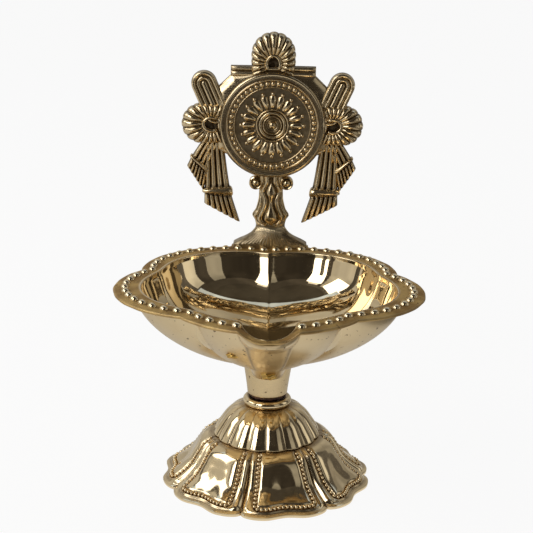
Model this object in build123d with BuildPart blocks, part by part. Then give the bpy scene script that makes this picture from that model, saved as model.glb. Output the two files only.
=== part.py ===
from build123d import *
import os
from math import atan2, cos, degrees, hypot, radians, sin, sqrt

# Aarti lamp in cast brass, in millimetres: a petalled base, a stem that screws into it,
# a five-lobed oil bowl with a wick spout, and an upright wheel emblem on the rim.
# The origin is on the floor, on the stem's axis. The spout faces -Y and +Z is up.
# Angles are counted from the front (-Y) towards +X.

# Petal skirt: outward steps and rises from the dome's seat down to the lip
petal_count = 7
first_valley = -13.9
corner_share = 0.25
ledge = 0.8
shoulder_out = 3.6
hip_out = 2.9
waist_out = 2.8
flare_out = 3.6
lip_out = 6.4
shoulder_drop = 2.4
hip_drop = 4.1
waist_drop = 4.0
flare_drop = 3.0
lip_drop = 3.8
lip_height = 1.2
valley_depth = 3.4
valley_depth_top = 0.6
corner_dip = 2.2
skirt_wall = 1.8
deck = 1.6
deck_shelf = 1.4

# Fluted dome: inward steps and rises from its rim up to the crown
flute_count = 16
flute_depth = 0.8
dome_rim_radius = 21.2
belly_in = 1.2
cheek_in = 1.8
brow_in = 2.3
cap_in = 2.8
crown_in = 3.4
belly_rise = 2.4
cheek_rise = 2.8
brow_rise = 3.2
cap_rise = 2.4
crown_rise = 1.3
dome_wall = 1.8
crown_thickness = 2.6

# Screw joint between base and stem
stud_radius = 4.0
thread_clearance = 0.05
pass_clearance = 0.3
stud_depth_in_stem = 8.0
stud_tip = 1.2
stud_chamfer = 0.6
nut_across_flats = 13.0
nut_height = 6.5
tie_washer_radius = 8.0
tie_washer_thickness = 1.4
collar_radius = 9.45
collar_height = 3.4
seat_washer_radius = 7.0
seat_washer_thickness = 1.1
seat_gap = 0.05

# Stem
stem_low_radius = 7.8
stem_high_radius = 9.7
stem_height = 13.7
stem_edge = 0.7

# Oil bowl: five round lobes, with their centres on a circle about the axis
lobe_count = 5
lobe_reach = 22.4
lobe_radius = 37.6
hull_inset = 8.0
hull_depth = 29.2
hull_roundness = 1.7
hull_floor_share = 0.21
hull_steps = 6
bowl_wall = 1.9
well_depth = 24.6
well_roundness = 2.2
flange_edge = 1.2
flange_crown = 0.4
flange_slope = 3.8

# Wick spout in the front lobe
spout_radius = 11.0
spout_edge = 0.6
spout_drop = 32.0
spout_root_radius = 5.4
spout_root_reach = 5.6
spout_wall = 1.7
trough_depth = 16.0
lip_dip = 3.4
lip_dip_width = 19.0
lip_thickness = 1.6

# Wheel emblem
emblem_thickness = 9.0
core_thickness = 4.0
web_thickness = 3.2
web_half_width = 23.0
web_top = 14.5
web_drop = 10.7
wheel_rise = 52.1
wheel_radius = 21.7
core_radius = 22.4
medallion_floor = 1.0
rim_width = 2.6
rim_bevel = 0.4
bead_band = 2.6
bead_band_depth = 0.7
field_depth = 1.1
ray_count = 20
ray_outer = 12.9
ray_width = 2.6
ray_height = 0.8
ray_tip_radius = 0.8
hub_ring_radius = 7.9
hub_ring_width = 1.2
eye_ring_radius = 4.7
eye_ring_width = 0.9
rivet_radius = 1.3
rivet_head_radius = 2.5
rivet_head_height = 1.2
rivet_head_taper = 30

# Shells, loops, bar and ribbons round the wheel
top_shell_half_width = 9.1
top_shell_reach = 37.8
side_shell_half_width = 8.3
side_shell_reach = 37.5
shell_thickness = 9.0
shell_root = 15.0
shell_fillet = 3.2
shell_mouth_radius = 2.9
shell_mouth_reach = 24.8
shell_mouth_depth = 2.6
bar_half_length = 17.4
bar_height = 4.4
bar_reach = 24.0
bar_thickness = 6.0
loop_radius = 4.5
loop_thickness = 6.4
loop_fillet = 1.8
loop_end = (29.2, 17.4)
loop_root = (24.2, 5.0)
ribbon_thickness = 5.0
ribbon_knot_width = 7.0
ribbon_knot = (24.0, -5.0)
inner_band = ((17.0, -28.3), (27.8, -28.3))
inner_tip = (13.0, -41.4)
inner_corner = (27.9, -33.5)
outer_band = (33.2, -13.9)
outer_tip = (35.1, -17.7)
outer_corner = (28.2, -28.1)

# Stalk, foot and their fastenings
foot_half_width = 15.5
foot_depth = 8.6
foot_height = 2.7
foot_corner = 2.0
pad_margin = 0.9
ankle_rise = 2.2
ankle_half_width = 10.4
waist_rise = 4.4
waist_half_width = 6.1
bulge_rise = 4.5
bulge_half_width = 7.7
neck_rise = 8.2
neck_half_width = 5.2
stalk_depth_share = 0.56
ball_radius = 2.4
ball_reach = 6.4
ball_drop = 24.6
screw_radius = 1.5
screw_head_radius = 2.8
screw_head_height = 1.6
screw_head_taper = 12
screw_reach = 9.5
screw_bite = 2.0
screw_clearance = 0.1

# Heights worked out from the stack
skirt_height = lip_height + lip_drop + flare_drop + waist_drop + hip_drop + shoulder_drop
dome_height = belly_rise + cheek_rise + brow_rise + cap_rise + crown_rise
dome_top = skirt_height + dome_height
crown_under = dome_top - crown_thickness
nut_top = crown_under - tie_washer_thickness
nut_bottom = nut_top - nut_height
stud_bottom = nut_bottom - stud_tip
collar_top = dome_top + collar_height
seat_washer_low = collar_top + seat_gap
stem_bottom = seat_washer_low + seat_washer_thickness + seat_gap
stem_top = stem_bottom + stem_height
stud_top = stem_bottom + stud_depth_in_stem
hull_top = stem_top + hull_depth
flange_top = hull_top + flange_edge + flange_crown
bowl_floor = hull_top - well_depth
foot_top = flange_top + foot_height
wheel_height = flange_top + wheel_rise

# Plan sizes shared by the bowl and the emblem
lobe_angle = 360 / lobe_count
lobe_tip = lobe_reach + lobe_radius
emblem_y = lobe_tip - emblem_thickness / 2
wheel_plane = Plane(origin=(0, emblem_y, wheel_height), x_dir=(1, 0, 0), z_dir=(0, -1, 0))
pad_half_width = foot_half_width + pad_margin
stud_hole_radius = stud_radius + pass_clearance
flare_radius = dome_rim_radius + ledge + shoulder_out + hip_out + waist_out + flare_out
lip_radius = flare_radius + lip_out

os.makedirs("parts", exist_ok=True)


def polar(radius, angle):
    """Plan point at a radius and an angle counted from the front towards +X."""
    return (radius * sin(radians(angle)), -radius * cos(radians(angle)))


def petal_section(ridge, height):
    """Petals in plan: each has two rounded corners with a dip between, and a valley on either side."""
    fade = height / skirt_height
    valley = ridge - valley_depth + (valley_depth - valley_depth_top) * fade
    middle = ridge - corner_dip * (1 - fade)
    pitch = 360 / petal_count
    with BuildSketch(Plane.XY.offset(height)) as section:
        with BuildLine():
            for petal in range(petal_count):
                start = first_valley + petal * pitch
                Spline(
                    polar(valley, start),
                    polar(ridge, start + corner_share * pitch),
                    polar(middle, start + pitch / 2),
                    polar(ridge, start + (1 - corner_share) * pitch),
                    polar(valley, start + pitch),
                )
        make_face()
    return section.sketch


def flute_section(crest, height):
    """Ring of convex flutes in plan, shallower towards the crown."""
    valley = crest - flute_depth * crest / dome_rim_radius
    pitch = 360 / flute_count
    with BuildSketch(Plane.XY.offset(height)) as section:
        with BuildLine():
            for flute in range(flute_count):
                start = flute * pitch
                ThreePointArc(
                    polar(valley, start),
                    polar(crest, start + pitch / 2),
                    polar(valley, start + pitch),
                )
        make_face()
    return section.sketch


def lobe_section(inset, height, share=1.0):
    """Five-lobed plan of the bowl at a height, drawn in by an inset and scaled about the axis."""
    reach = lobe_reach * share
    radius = (lobe_radius - inset) * share
    half = radians(lobe_angle / 2)
    notch = reach * cos(half) + sqrt(radius**2 - (reach * sin(half)) ** 2)
    with BuildSketch(Plane.XY.offset(height)) as section:
        with BuildLine():
            for lobe in range(lobe_count):
                tip_angle = lobe * lobe_angle
                ThreePointArc(
                    polar(notch, tip_angle - lobe_angle / 2),
                    polar(reach + radius, tip_angle),
                    polar(notch, tip_angle + lobe_angle / 2),
                )
        make_face()
    return section.sketch


def wall_rise(share, roundness):
    """Height of the wall, as a share of its depth, at a share of its plan."""
    return 1 - (1 - share**roundness) ** (1 / roundness)


def wall_sections(inset, floor, roundness):
    """Sections of the bowl's wall from its floor up to the rim, closer together towards the rim."""
    low = wall_rise(hull_floor_share, roundness)
    sections = []
    for step in range(hull_steps + 1):
        share = hull_floor_share + (1 - hull_floor_share) * sin(radians(90 * step / hull_steps))
        rise = (wall_rise(share, roundness) - low) / (1 - low)
        sections.append(lobe_section(inset, floor + (hull_top - floor) * rise, share))
    return sections


def round_section(center_y, height, radius):
    """Circle on the spout's slanting line."""
    with BuildSketch(Plane.XY.offset(height)) as section:
        with Locations((0, center_y)):
            Circle(radius)
    return section.sketch


def oval_section(height, half_width, half_depth):
    """Oval across the emblem's stalk."""
    with BuildSketch(Plane.XY.offset(height)) as section:
        with Locations((0, emblem_y)):
            Ellipse(half_width, half_depth)
    return section.sketch


# Petal skirt
ridge_steps = [
    (lip_height, lip_radius),
    (lip_drop, -lip_out),
    (flare_drop, -flare_out),
    (waist_drop, -waist_out),
    (hip_drop, -hip_out),
    (shoulder_drop, -shoulder_out),
]
ridges = []
for rise, step_out in ridge_steps:
    last_height, last_radius = ridges[-1] if ridges else (0, 0)
    ridges.append((last_height + rise, last_radius + step_out))

inner_wall = []
for ridge_height, ridge_radius in ridges[:-1]:
    fade = ridge_height / skirt_height
    valley = ridge_radius - valley_depth + (valley_depth - valley_depth_top) * fade
    inner_wall.append((valley - skirt_wall, ridge_height))

with BuildPart() as petal_skirt:
    extrude(petal_section(lip_radius, 0), amount=lip_height)
    loft([petal_section(ridge_radius, ridge_height) for ridge_height, ridge_radius in ridges])
    hole_radius = dome_rim_radius - flute_depth - dome_wall - deck_shelf
    with BuildSketch(Plane.XZ):
        with BuildLine():
            Polyline(
                (0, 0),
                (inner_wall[0][0], 0),
                *inner_wall,
                (hole_radius, skirt_height - deck),
                (hole_radius, skirt_height),
                (0, skirt_height),
                close=True,
            )
        make_face()
    revolve(axis=Axis.Z, mode=Mode.SUBTRACT)
petal_skirt.part.label = "petal_skirt"
export_step(petal_skirt.part, "parts/petal_skirt.step")

# Fluted dome
dome_steps = [
    (0, 0),
    (belly_rise, belly_in),
    (cheek_rise, cheek_in),
    (brow_rise, brow_in),
    (cap_rise, cap_in),
    (crown_rise, crown_in),
]
dome_rings = []
for rise, step_in in dome_steps:
    last_height, last_radius = dome_rings[-1] if dome_rings else (skirt_height, dome_rim_radius)
    dome_rings.append((last_height + rise, last_radius - step_in))

inner_dome = []
for ring_height, ring_radius in dome_rings[:-2]:
    inner_dome.append((ring_radius - flute_depth - dome_wall, ring_height))

with BuildPart() as fluted_dome:
    loft([flute_section(ring_radius, ring_height) for ring_height, ring_radius in dome_rings])
    with BuildSketch(Plane.XZ):
        with BuildLine():
            Polyline(
                (0, skirt_height),
                *inner_dome,
                (tie_washer_radius + pass_clearance, crown_under),
                (0, crown_under),
                close=True,
            )
        make_face()
    revolve(axis=Axis.Z, mode=Mode.SUBTRACT)
    with BuildSketch(Plane.XY.offset(crown_under)):
        Circle(stud_hole_radius)
    extrude(amount=crown_thickness, mode=Mode.SUBTRACT)
fluted_dome.part.label = "fluted_dome"
export_step(fluted_dome.part, "parts/fluted_dome.step")

# Collar ring with a round outer edge
with BuildPart() as collar_ring:
    with BuildSketch(Plane.XZ):
        with BuildLine():
            round_start = (collar_radius - collar_height / 2, dome_top)
            round_end = (collar_radius - collar_height / 2, collar_top)
            Polyline(round_end, (stud_hole_radius, collar_top), (stud_hole_radius, dome_top), round_start)
            ThreePointArc(round_start, (collar_radius, dome_top + collar_height / 2), round_end)
        make_face()
    revolve(axis=Axis.Z)
collar_ring.part.label = "collar_ring"
export_step(collar_ring.part, "parts/collar_ring.step")

# Washer and nut under the crown
with BuildPart() as tie_washer:
    with BuildSketch(Plane.XY.offset(nut_top)):
        Circle(tie_washer_radius)
        Circle(stud_hole_radius, mode=Mode.SUBTRACT)
    extrude(amount=tie_washer_thickness)
tie_washer.part.label = "tie_washer"
export_step(tie_washer.part, "parts/tie_washer.step")

with BuildPart() as tie_nut:
    with BuildSketch(Plane.XY.offset(nut_bottom)):
        RegularPolygon(nut_across_flats / 2, 6, major_radius=False)
        Circle(stud_radius + thread_clearance, mode=Mode.SUBTRACT)
    extrude(amount=nut_height)
tie_nut.part.label = "tie_nut"
export_step(tie_nut.part, "parts/tie_nut.step")

# Stud fixed in the stem
with BuildPart() as tie_stud:
    with BuildSketch(Plane.XY.offset(stud_bottom)):
        Circle(stud_radius)
    extrude(amount=stud_top - stud_bottom)
    chamfer(tie_stud.edges().group_by(Axis.Z)[0], stud_chamfer)
tie_stud.part.label = "tie_stud"
export_step(tie_stud.part, "parts/tie_stud.step")

# Dark washer in the groove between collar and stem
with BuildPart() as seat_washer:
    with BuildSketch(Plane.XY.offset(seat_washer_low)):
        Circle(seat_washer_radius)
        Circle(stud_hole_radius, mode=Mode.SUBTRACT)
    extrude(amount=seat_washer_thickness)
seat_washer.part.label = "seat_washer"
export_step(seat_washer.part, "parts/seat_washer.step")

# Tapered stem with a blind hole for the stud
with BuildPart() as stem:
    stud_socket = stud_radius + thread_clearance
    with BuildSketch(Plane.XZ):
        with BuildLine():
            Polyline(
                (stud_socket, stem_bottom),
                (stem_low_radius - stem_edge, stem_bottom),
                (stem_low_radius, stem_bottom + stem_edge),
                (stem_high_radius, stem_top),
                (0, stem_top),
                (0, stud_top),
                (stud_socket, stud_top),
                close=True,
            )
        make_face()
    revolve(axis=Axis.Z)
stem.part.label = "stem"
export_step(stem.part, "parts/stem.step")

# Lip of the spout: the flange bent down in a shallow curve
flange_height = flange_top - hull_top
dip_radius = (lip_dip_width**2 / 4 + lip_dip**2) / (2 * lip_dip)
dip_center = flange_top - lip_dip + dip_radius
spout_top = flange_top - lip_dip - lip_thickness / 2
spout_y = spout_radius + spout_edge - lobe_tip
trough_share = trough_depth / spout_drop
trough_y = spout_y - trough_share * (spout_y + spout_root_reach)
trough_radius = spout_radius - trough_share * (spout_radius - spout_root_radius) - spout_wall

with BuildPart() as spout_lip:
    with BuildSketch(Plane.XZ.offset(-spout_y)):
        with Locations((0, flange_top - lip_dip)):
            Rectangle(lip_dip_width, 2 * lip_dip)
        with Locations((0, dip_center)):
            Circle(dip_radius + lip_thickness, mode=Mode.INTERSECT)
            Circle(dip_radius, mode=Mode.SUBTRACT)
    extrude(amount=2 * spout_radius)
    extrude(lobe_section(0, stem_top), amount=flange_top - stem_top, mode=Mode.INTERSECT)

# Oil bowl
with BuildPart() as bowl:
    loft(wall_sections(hull_inset, stem_top, hull_roundness))
    # Spout: a slanting cone from the lip down to the stem
    loft(
        [
            round_section(-spout_root_reach, spout_top - spout_drop, spout_root_radius),
            round_section(spout_y, spout_top, spout_radius),
        ]
    )
    # Flange with a crowned top
    extrude(lobe_section(0, hull_top), amount=flange_edge)
    loft([lobe_section(0, hull_top + flange_edge), lobe_section(flange_slope, flange_top)])
    # Pad behind the rear notch that carries the emblem's foot
    with BuildSketch(Plane.XY.offset(hull_top)):
        with Locations((0, emblem_y)):
            RectangleRounded(2 * pad_half_width, emblem_thickness, foot_corner)
    extrude(amount=flange_height)
    # Dip of the rim over the spout, with the bent lip in it
    with BuildSketch(Plane.XZ.offset(-spout_y)):
        with Locations((0, dip_center)):
            Circle(dip_radius)
    extrude(amount=2 * spout_radius, mode=Mode.SUBTRACT)
    add(spout_lip.part)
    # Hollow of the bowl
    loft(wall_sections(hull_inset + bowl_wall, bowl_floor, well_roundness), mode=Mode.SUBTRACT)
    extrude(lobe_section(hull_inset + bowl_wall, hull_top), amount=flange_height, mode=Mode.SUBTRACT)
    # Trough of the spout
    loft(
        [
            round_section(trough_y, spout_top - trough_depth, trough_radius),
            round_section(spout_y, spout_top, spout_radius - spout_wall),
        ],
        mode=Mode.SUBTRACT,
    )
    extrude(
        round_section(spout_y, spout_top, spout_radius - spout_wall),
        amount=flange_top - spout_top,
        mode=Mode.SUBTRACT,
    )
    # Seat of the spout's root against the stem
    with BuildSketch(Plane.XZ):
        with BuildLine():
            Polyline(
                (0, stem_bottom + stem_edge),
                (stem_low_radius, stem_bottom + stem_edge),
                (stem_high_radius, stem_top),
                (0, stem_top),
                close=True,
            )
        make_face()
    revolve(axis=Axis.Z, mode=Mode.SUBTRACT)
    # Screw holes in the pad
    with BuildSketch(Plane.XY.offset(hull_top)):
        with Locations((-screw_reach, emblem_y), (screw_reach, emblem_y)):
            Circle(screw_radius + screw_clearance)
    extrude(amount=flange_height, mode=Mode.SUBTRACT)
bowl.part.label = "bowl"
export_step(bowl.part, "parts/bowl.step")


def ribbed_shell(half_width, reach, turn):
    """Rounded shell that stands out from the wheel's edge, with a mouth on both faces."""
    across = (cos(radians(turn)), 0, sin(radians(turn)))
    outward = Plane(origin=wheel_plane.origin, x_dir=across, z_dir=wheel_plane.z_dir)
    round_center = reach - half_width
    with BuildPart() as shell:
        with BuildSketch(outward):
            with Locations((0, round_center)):
                Circle(half_width)
            with Locations((0, (round_center + shell_root) / 2)):
                Rectangle(2 * half_width, round_center - shell_root)
        extrude(amount=shell_thickness / 2, both=True)
        fillet(shell.faces().filter_by(Axis.Y).edges(), shell_fillet)
        for face in (shell_thickness / 2, -shell_thickness / 2):
            with BuildSketch(outward.offset(face)):
                with Locations((0, shell_mouth_reach)):
                    Circle(shell_mouth_radius)
            depth = -shell_mouth_depth if face > 0 else shell_mouth_depth
            extrude(amount=depth, mode=Mode.SUBTRACT)
    return shell.part


def ribbon_loop():
    """Folded end of a ribbon: a round-ended strap that leans outwards."""
    run = (loop_end[0] - loop_root[0], loop_end[1] - loop_root[1])
    middle = (loop_root[0] + run[0] / 2, loop_root[1] + run[1] / 2)
    with BuildPart() as loop:
        with BuildSketch(wheel_plane):
            with Locations(middle):
                SlotCenterToCenter(hypot(*run), 2 * loop_radius, rotation=degrees(atan2(run[1], run[0])))
        extrude(amount=loop_thickness / 2, both=True)
        fillet(loop.faces().filter_by(Axis.Y).edges(), loop_fillet)
    return loop.part


def ribbon_tails():
    """Two hanging tails that spread from the knot under a side shell."""
    knot_left = (ribbon_knot[0] - ribbon_knot_width / 2, ribbon_knot[1])
    knot_right = (ribbon_knot[0] + ribbon_knot_width / 2, ribbon_knot[1])
    with BuildPart() as tails:
        with BuildSketch(wheel_plane):
            with BuildLine():
                inner_hem = (inner_tip, inner_corner)
                Polyline(knot_left, inner_band[0], *inner_hem, inner_band[1], knot_right, close=True)
            make_face()
            with BuildLine():
                Polyline(knot_left, outer_corner, outer_tip, outer_band, knot_right, close=True)
            make_face()
        extrude(amount=ribbon_thickness / 2, both=True)
    return tails.part


# Emblem casting: core disc, webs, shells, loops, bar, ribbons, stalk and foot
stalk_low = foot_top + ankle_rise
stalk_waist = stalk_low + waist_rise
stalk_bulge = stalk_waist + bulge_rise
stalk_neck = stalk_bulge + neck_rise

with BuildPart() as emblem_core:
    with BuildSketch(wheel_plane):
        Circle(core_radius)
    extrude(amount=core_thickness / 2, both=True)
    # Web that ties bar, loops and shells to the disc
    with BuildSketch(wheel_plane):
        with BuildLine():
            Polyline(
                (bar_half_length, bar_reach - bar_height),
                (web_half_width, web_top),
                (web_half_width, -web_drop),
                (-web_half_width, -web_drop),
                (-web_half_width, web_top),
                (-bar_half_length, bar_reach - bar_height),
                close=True,
            )
        make_face()
    extrude(amount=web_thickness / 2, both=True)
    # Bar behind the top shell
    with BuildSketch(wheel_plane):
        with Locations((0, bar_reach - bar_height / 2)):
            Rectangle(2 * bar_half_length, bar_height)
    extrude(amount=bar_thickness / 2, both=True)
    # Foot and stalk
    with BuildSketch(Plane.XY.offset(flange_top)):
        with Locations((0, emblem_y)):
            RectangleRounded(2 * foot_half_width, foot_depth, foot_corner)
    extrude(amount=foot_height)
    ankle_oval = oval_section(stalk_low, ankle_half_width, foot_depth / 2)
    waist_oval = oval_section(stalk_waist, waist_half_width, waist_half_width * stalk_depth_share)
    bulge_oval = oval_section(stalk_bulge, bulge_half_width, bulge_half_width * stalk_depth_share)
    neck_oval = oval_section(stalk_neck, neck_half_width, neck_half_width * stalk_depth_share)
    loft([oval_section(foot_top, foot_half_width - foot_corner, foot_depth / 2), ankle_oval, waist_oval])
    loft([waist_oval, bulge_oval, neck_oval])
    extrude(neck_oval, amount=wheel_height - wheel_radius - stalk_neck)
    # Block that carries the disc on the stalk
    with BuildSketch(Plane.XY.offset(wheel_height - wheel_radius)):
        with Locations((0, emblem_y)):
            Rectangle(2 * neck_half_width, core_thickness)
    extrude(amount=wheel_radius / 2)
    # Balls under the wheel, one on each side of the stalk
    with Locations(
        (-ball_reach, emblem_y, wheel_height - ball_drop),
        (ball_reach, emblem_y, wheel_height - ball_drop),
    ):
        Sphere(ball_radius)
    # Shells above and on both sides, loops and ribbons in pairs
    add(ribbed_shell(top_shell_half_width, top_shell_reach, 0))
    add(ribbed_shell(side_shell_half_width, side_shell_reach, 90))
    add(ribbed_shell(side_shell_half_width, side_shell_reach, -90))
    strap = ribbon_loop()
    add(strap)
    mirror(strap, about=Plane.YZ)
    tails = ribbon_tails()
    add(tails)
    mirror(tails, about=Plane.YZ)
    # Seats of both medallions
    for side in (1, -1):
        with BuildSketch(wheel_plane.offset(side * core_thickness / 2)):
            Circle(wheel_radius)
        extrude(amount=side * emblem_thickness, mode=Mode.SUBTRACT)
    # Hole for the rivet and holes for the foot's screws
    with BuildSketch(wheel_plane):
        Circle(rivet_radius + screw_clearance)
    extrude(amount=core_thickness / 2, both=True, mode=Mode.SUBTRACT)
    with BuildSketch(Plane.XY.offset(flange_top)):
        with Locations((-screw_reach, emblem_y), (screw_reach, emblem_y)):
            Circle(screw_radius + screw_clearance)
    extrude(amount=screw_bite, mode=Mode.SUBTRACT)
emblem_core.part.label = "emblem_core"
export_step(emblem_core.part, "parts/emblem_core.step")

# Medallions: the same chased disc on both faces of the core
face_height = emblem_thickness / 2
seat_height = core_thickness / 2
band_height = face_height - bead_band_depth
field_height = face_height - field_depth
eye_height = seat_height + medallion_floor
rim_inner = wheel_radius - rim_width
band_inner = rim_inner - bead_band
ray_root = hub_ring_radius - hub_ring_width / 2

for name, side in (("front_medallion", 1), ("back_medallion", -1)):
    profile_plane = Plane(origin=wheel_plane.origin, x_dir=(0, 0, 1), z_dir=(side, 0, 0))
    wheel_axis = Axis(wheel_plane.origin, wheel_plane.z_dir)
    with BuildPart() as medallion:
        with BuildSketch(profile_plane):
            with BuildLine():
                Polyline(
                    (rivet_radius + screw_clearance, seat_height),
                    (wheel_radius, seat_height),
                    (wheel_radius, face_height - rim_bevel),
                    (wheel_radius - rim_bevel, face_height),
                    (rim_inner, face_height),
                    (rim_inner, band_height),
                    (band_inner, band_height),
                    (band_inner, field_height),
                    (hub_ring_radius, field_height),
                    (hub_ring_radius - rim_bevel, face_height),
                    (hub_ring_radius - hub_ring_width, face_height),
                    (hub_ring_radius - hub_ring_width, field_height),
                    (eye_ring_radius, field_height),
                    (eye_ring_radius - rim_bevel, face_height),
                    (eye_ring_radius - eye_ring_width, face_height),
                    (eye_ring_radius - eye_ring_width, eye_height),
                    (rivet_radius + screw_clearance, eye_height),
                    close=True,
                )
            make_face()
        revolve(axis=wheel_axis)
        # Rays between hub ring and bead band, each with a round tip
        with BuildSketch(wheel_plane.offset(side * field_height)):
            with PolarLocations((ray_root + ray_outer) / 2, ray_count):
                Ellipse((ray_outer - ray_root) / 2, ray_width / 2)
            with PolarLocations(ray_outer + ray_tip_radius / 2, ray_count):
                Circle(ray_tip_radius)
        extrude(amount=side * ray_height)
    medallion.part.label = name
    export_step(medallion.part, f"parts/{name}.step")

# Rivet through core and medallions, with a domed head on each face
with BuildPart() as hub_rivet:
    with BuildSketch(wheel_plane):
        Circle(rivet_radius)
    extrude(amount=eye_height, both=True)
    for side in (1, -1):
        with BuildSketch(wheel_plane.offset(side * eye_height)):
            Circle(rivet_head_radius)
        extrude(amount=side * rivet_head_height, taper=rivet_head_taper)
hub_rivet.part.label = "hub_rivet"
export_step(hub_rivet.part, "parts/hub_rivet.step")

# Two screws that hold the foot from under the rim
with BuildPart() as foot_screws:
    with BuildSketch(Plane.XY.offset(hull_top)):
        with Locations((-screw_reach, emblem_y), (screw_reach, emblem_y)):
            Circle(screw_radius)
    extrude(amount=flange_height + screw_bite - screw_clearance)
    with BuildSketch(Plane.XY.offset(hull_top)):
        with Locations((-screw_reach, emblem_y), (screw_reach, emblem_y)):
            Circle(screw_head_radius)
    extrude(amount=-screw_head_height, taper=screw_head_taper)
foot_screws.part.label = "foot_screws"
export_step(foot_screws.part, "parts/foot_screws.step")
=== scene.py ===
"""Dresses the aarti lamp in cast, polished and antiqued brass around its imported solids.

Sizes are in millimetres in the part's own frame: the origin is on the floor on the stem's axis, the spout
faces -Y and +Z is up. Angles are counted from the front (-Y) towards +X. MeshPile turns the sizes into
metres when it makes a mesh.
"""
import logging
import math
from collections.abc import Sequence
from dataclasses import dataclass
from enum import Enum
from functools import reduce

import bmesh
import bpy
import numpy as np
from mathutils import Matrix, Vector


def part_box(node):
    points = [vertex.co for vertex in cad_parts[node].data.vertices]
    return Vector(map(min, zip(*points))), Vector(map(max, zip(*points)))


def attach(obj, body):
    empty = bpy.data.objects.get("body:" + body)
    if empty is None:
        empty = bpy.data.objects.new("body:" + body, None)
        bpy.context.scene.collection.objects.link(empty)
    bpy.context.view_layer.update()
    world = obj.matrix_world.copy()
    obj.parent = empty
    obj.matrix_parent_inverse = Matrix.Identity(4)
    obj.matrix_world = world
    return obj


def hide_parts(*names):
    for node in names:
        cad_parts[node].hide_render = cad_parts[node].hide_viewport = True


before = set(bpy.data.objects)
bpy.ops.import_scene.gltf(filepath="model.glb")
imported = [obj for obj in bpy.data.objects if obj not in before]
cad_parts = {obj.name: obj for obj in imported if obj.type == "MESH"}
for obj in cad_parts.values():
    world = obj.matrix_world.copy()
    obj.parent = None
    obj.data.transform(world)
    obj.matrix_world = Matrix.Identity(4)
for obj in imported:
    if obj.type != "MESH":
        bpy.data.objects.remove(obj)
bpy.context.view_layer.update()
MM = 0.001
MERGE_DISTANCE = 1e-6
log = logging.getLogger("aarti_lamp")

Array = np.ndarray
Socket = bpy.types.NodeSocket
Piece = bpy.types.Object
Colour = tuple[float, float, float]
Point = tuple[float, float]
Spot = tuple[float, float, float]
Line = tuple[Point, Point]
Curve = tuple[float, ...]
Values = Array | float
Marks = dict[str, Values]


class Body(Enum):
    """Moving bodies of the lamp."""

    BASE = "base"
    SEAT = "seat"
    UPPER = "upper"


class Slot(Enum):
    """Material slots of the record."""

    POLISHED = "polished_brass"
    ANTIQUE = "antique_brass"
    STEEL = "steel"
    WASHER = "washer"


class Face(Enum):
    """The two faces of the wheel, as the sign of their depth."""

    FRONT = 1
    BACK = -1


def ramp(low: float, high: float, value: Array) -> Array:
    """Smooth step from 0 at low to 1 at high."""
    share = np.clip((value - low) / (high - low), 0.0, 1.0)
    return share * share * (3.0 - 2.0 * share)


def crest(value: Array, middle: float, width: float) -> Array:
    """Bell curve of height 1 about a middle."""
    return np.exp(-(((value - middle) / width) ** 2))


def roll(value: Array, middle: float, half_width: float) -> Array:
    """Half-round section of height 1 about a middle, 0 outside it."""
    return np.sqrt(np.clip(1.0 - ((value - middle) / half_width) ** 2, 0.0, 1.0))


def highest(values: list[Array]) -> Array:
    """Greatest of several values at each place."""
    return reduce(np.maximum, values)


def ease_through(stations: Sequence[float], values: Sequence[float], at: Array) -> Array:
    """Smooth curve through stations that doesn't overshoot between them.

    Args:
        stations: Rising places along the curve.
        values: Value at each station.
        at: Places to read the curve at.

    Returns:
        The curve's value at each place.
    """
    place, value = np.array(stations, float), np.array(values, float)
    steps = np.diff(place)
    slopes = np.diff(value) / steps
    tangents = np.concatenate([slopes[:1], np.zeros(len(slopes) - 1), slopes[-1:]])
    same_way = slopes[:-1] * slopes[1:] > 0
    safe = np.where(same_way, slopes[:-1] + slopes[1:], 1.0)
    tangents[1:-1] = np.where(same_way, 2.0 * slopes[:-1] * slopes[1:] / safe, 0.0)
    at = np.clip(at, place[0], place[-1])
    span = np.clip(np.searchsorted(place, at, "right") - 1, 0, len(steps) - 1)
    share = (at - place[span]) / steps[span]
    square, cube = share**2, share**3
    return (
        (2 * cube - 3 * square + 1) * value[span]
        + (cube - 2 * square + share) * steps[span] * tangents[span]
        + (3 * square - 2 * cube) * value[span + 1]
        + (cube - square) * steps[span] * tangents[span + 1]
    )


def crowded(low: float, high: float, count: int, peaks: Sequence[Spot]) -> Array:
    """Rising samples that stand closer together near some places.

    Args:
        low: First sample.
        high: Last sample.
        count: How many samples.
        peaks: Place, width and gain of each crowding.

    Returns:
        The samples.
    """
    fine = np.linspace(low, high, 4000)
    density = np.ones_like(fine)
    for place, width, gain in peaks:
        density += gain * crest(fine, place, width)
    share = np.cumsum(density)
    share = (share - share[0]) / (share[-1] - share[0])
    return np.interp(np.linspace(0.0, 1.0, count), share, fine)


def around(radius: Values, angle: Values, height: Values) -> Array:
    """Points at a radius, an angle from the front and a height, stacked on a last axis of three."""
    radius, angle, height = np.broadcast_arrays(radius, angle, height)
    return np.stack([radius * np.sin(angle), -radius * np.cos(angle), height], -1)


def turn(count: int) -> Array:
    """Evenly spaced angles of one full turn."""
    return np.linspace(0.0, 2.0 * math.pi, count, endpoint=False)


def node_height(node: str, top: bool) -> float:
    """Height of a node's top or bottom at rest."""
    low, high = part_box(node)
    return (high if top else low).z / MM


def grid_normals(grid: Array) -> Array:
    """Unit normals of a grid of points, from its rows and columns."""
    normals = np.cross(np.gradient(grid, axis=1), np.gradient(grid, axis=0))
    return normals / np.maximum(np.linalg.norm(normals, axis=-1, keepdims=True), 1e-12)


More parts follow.
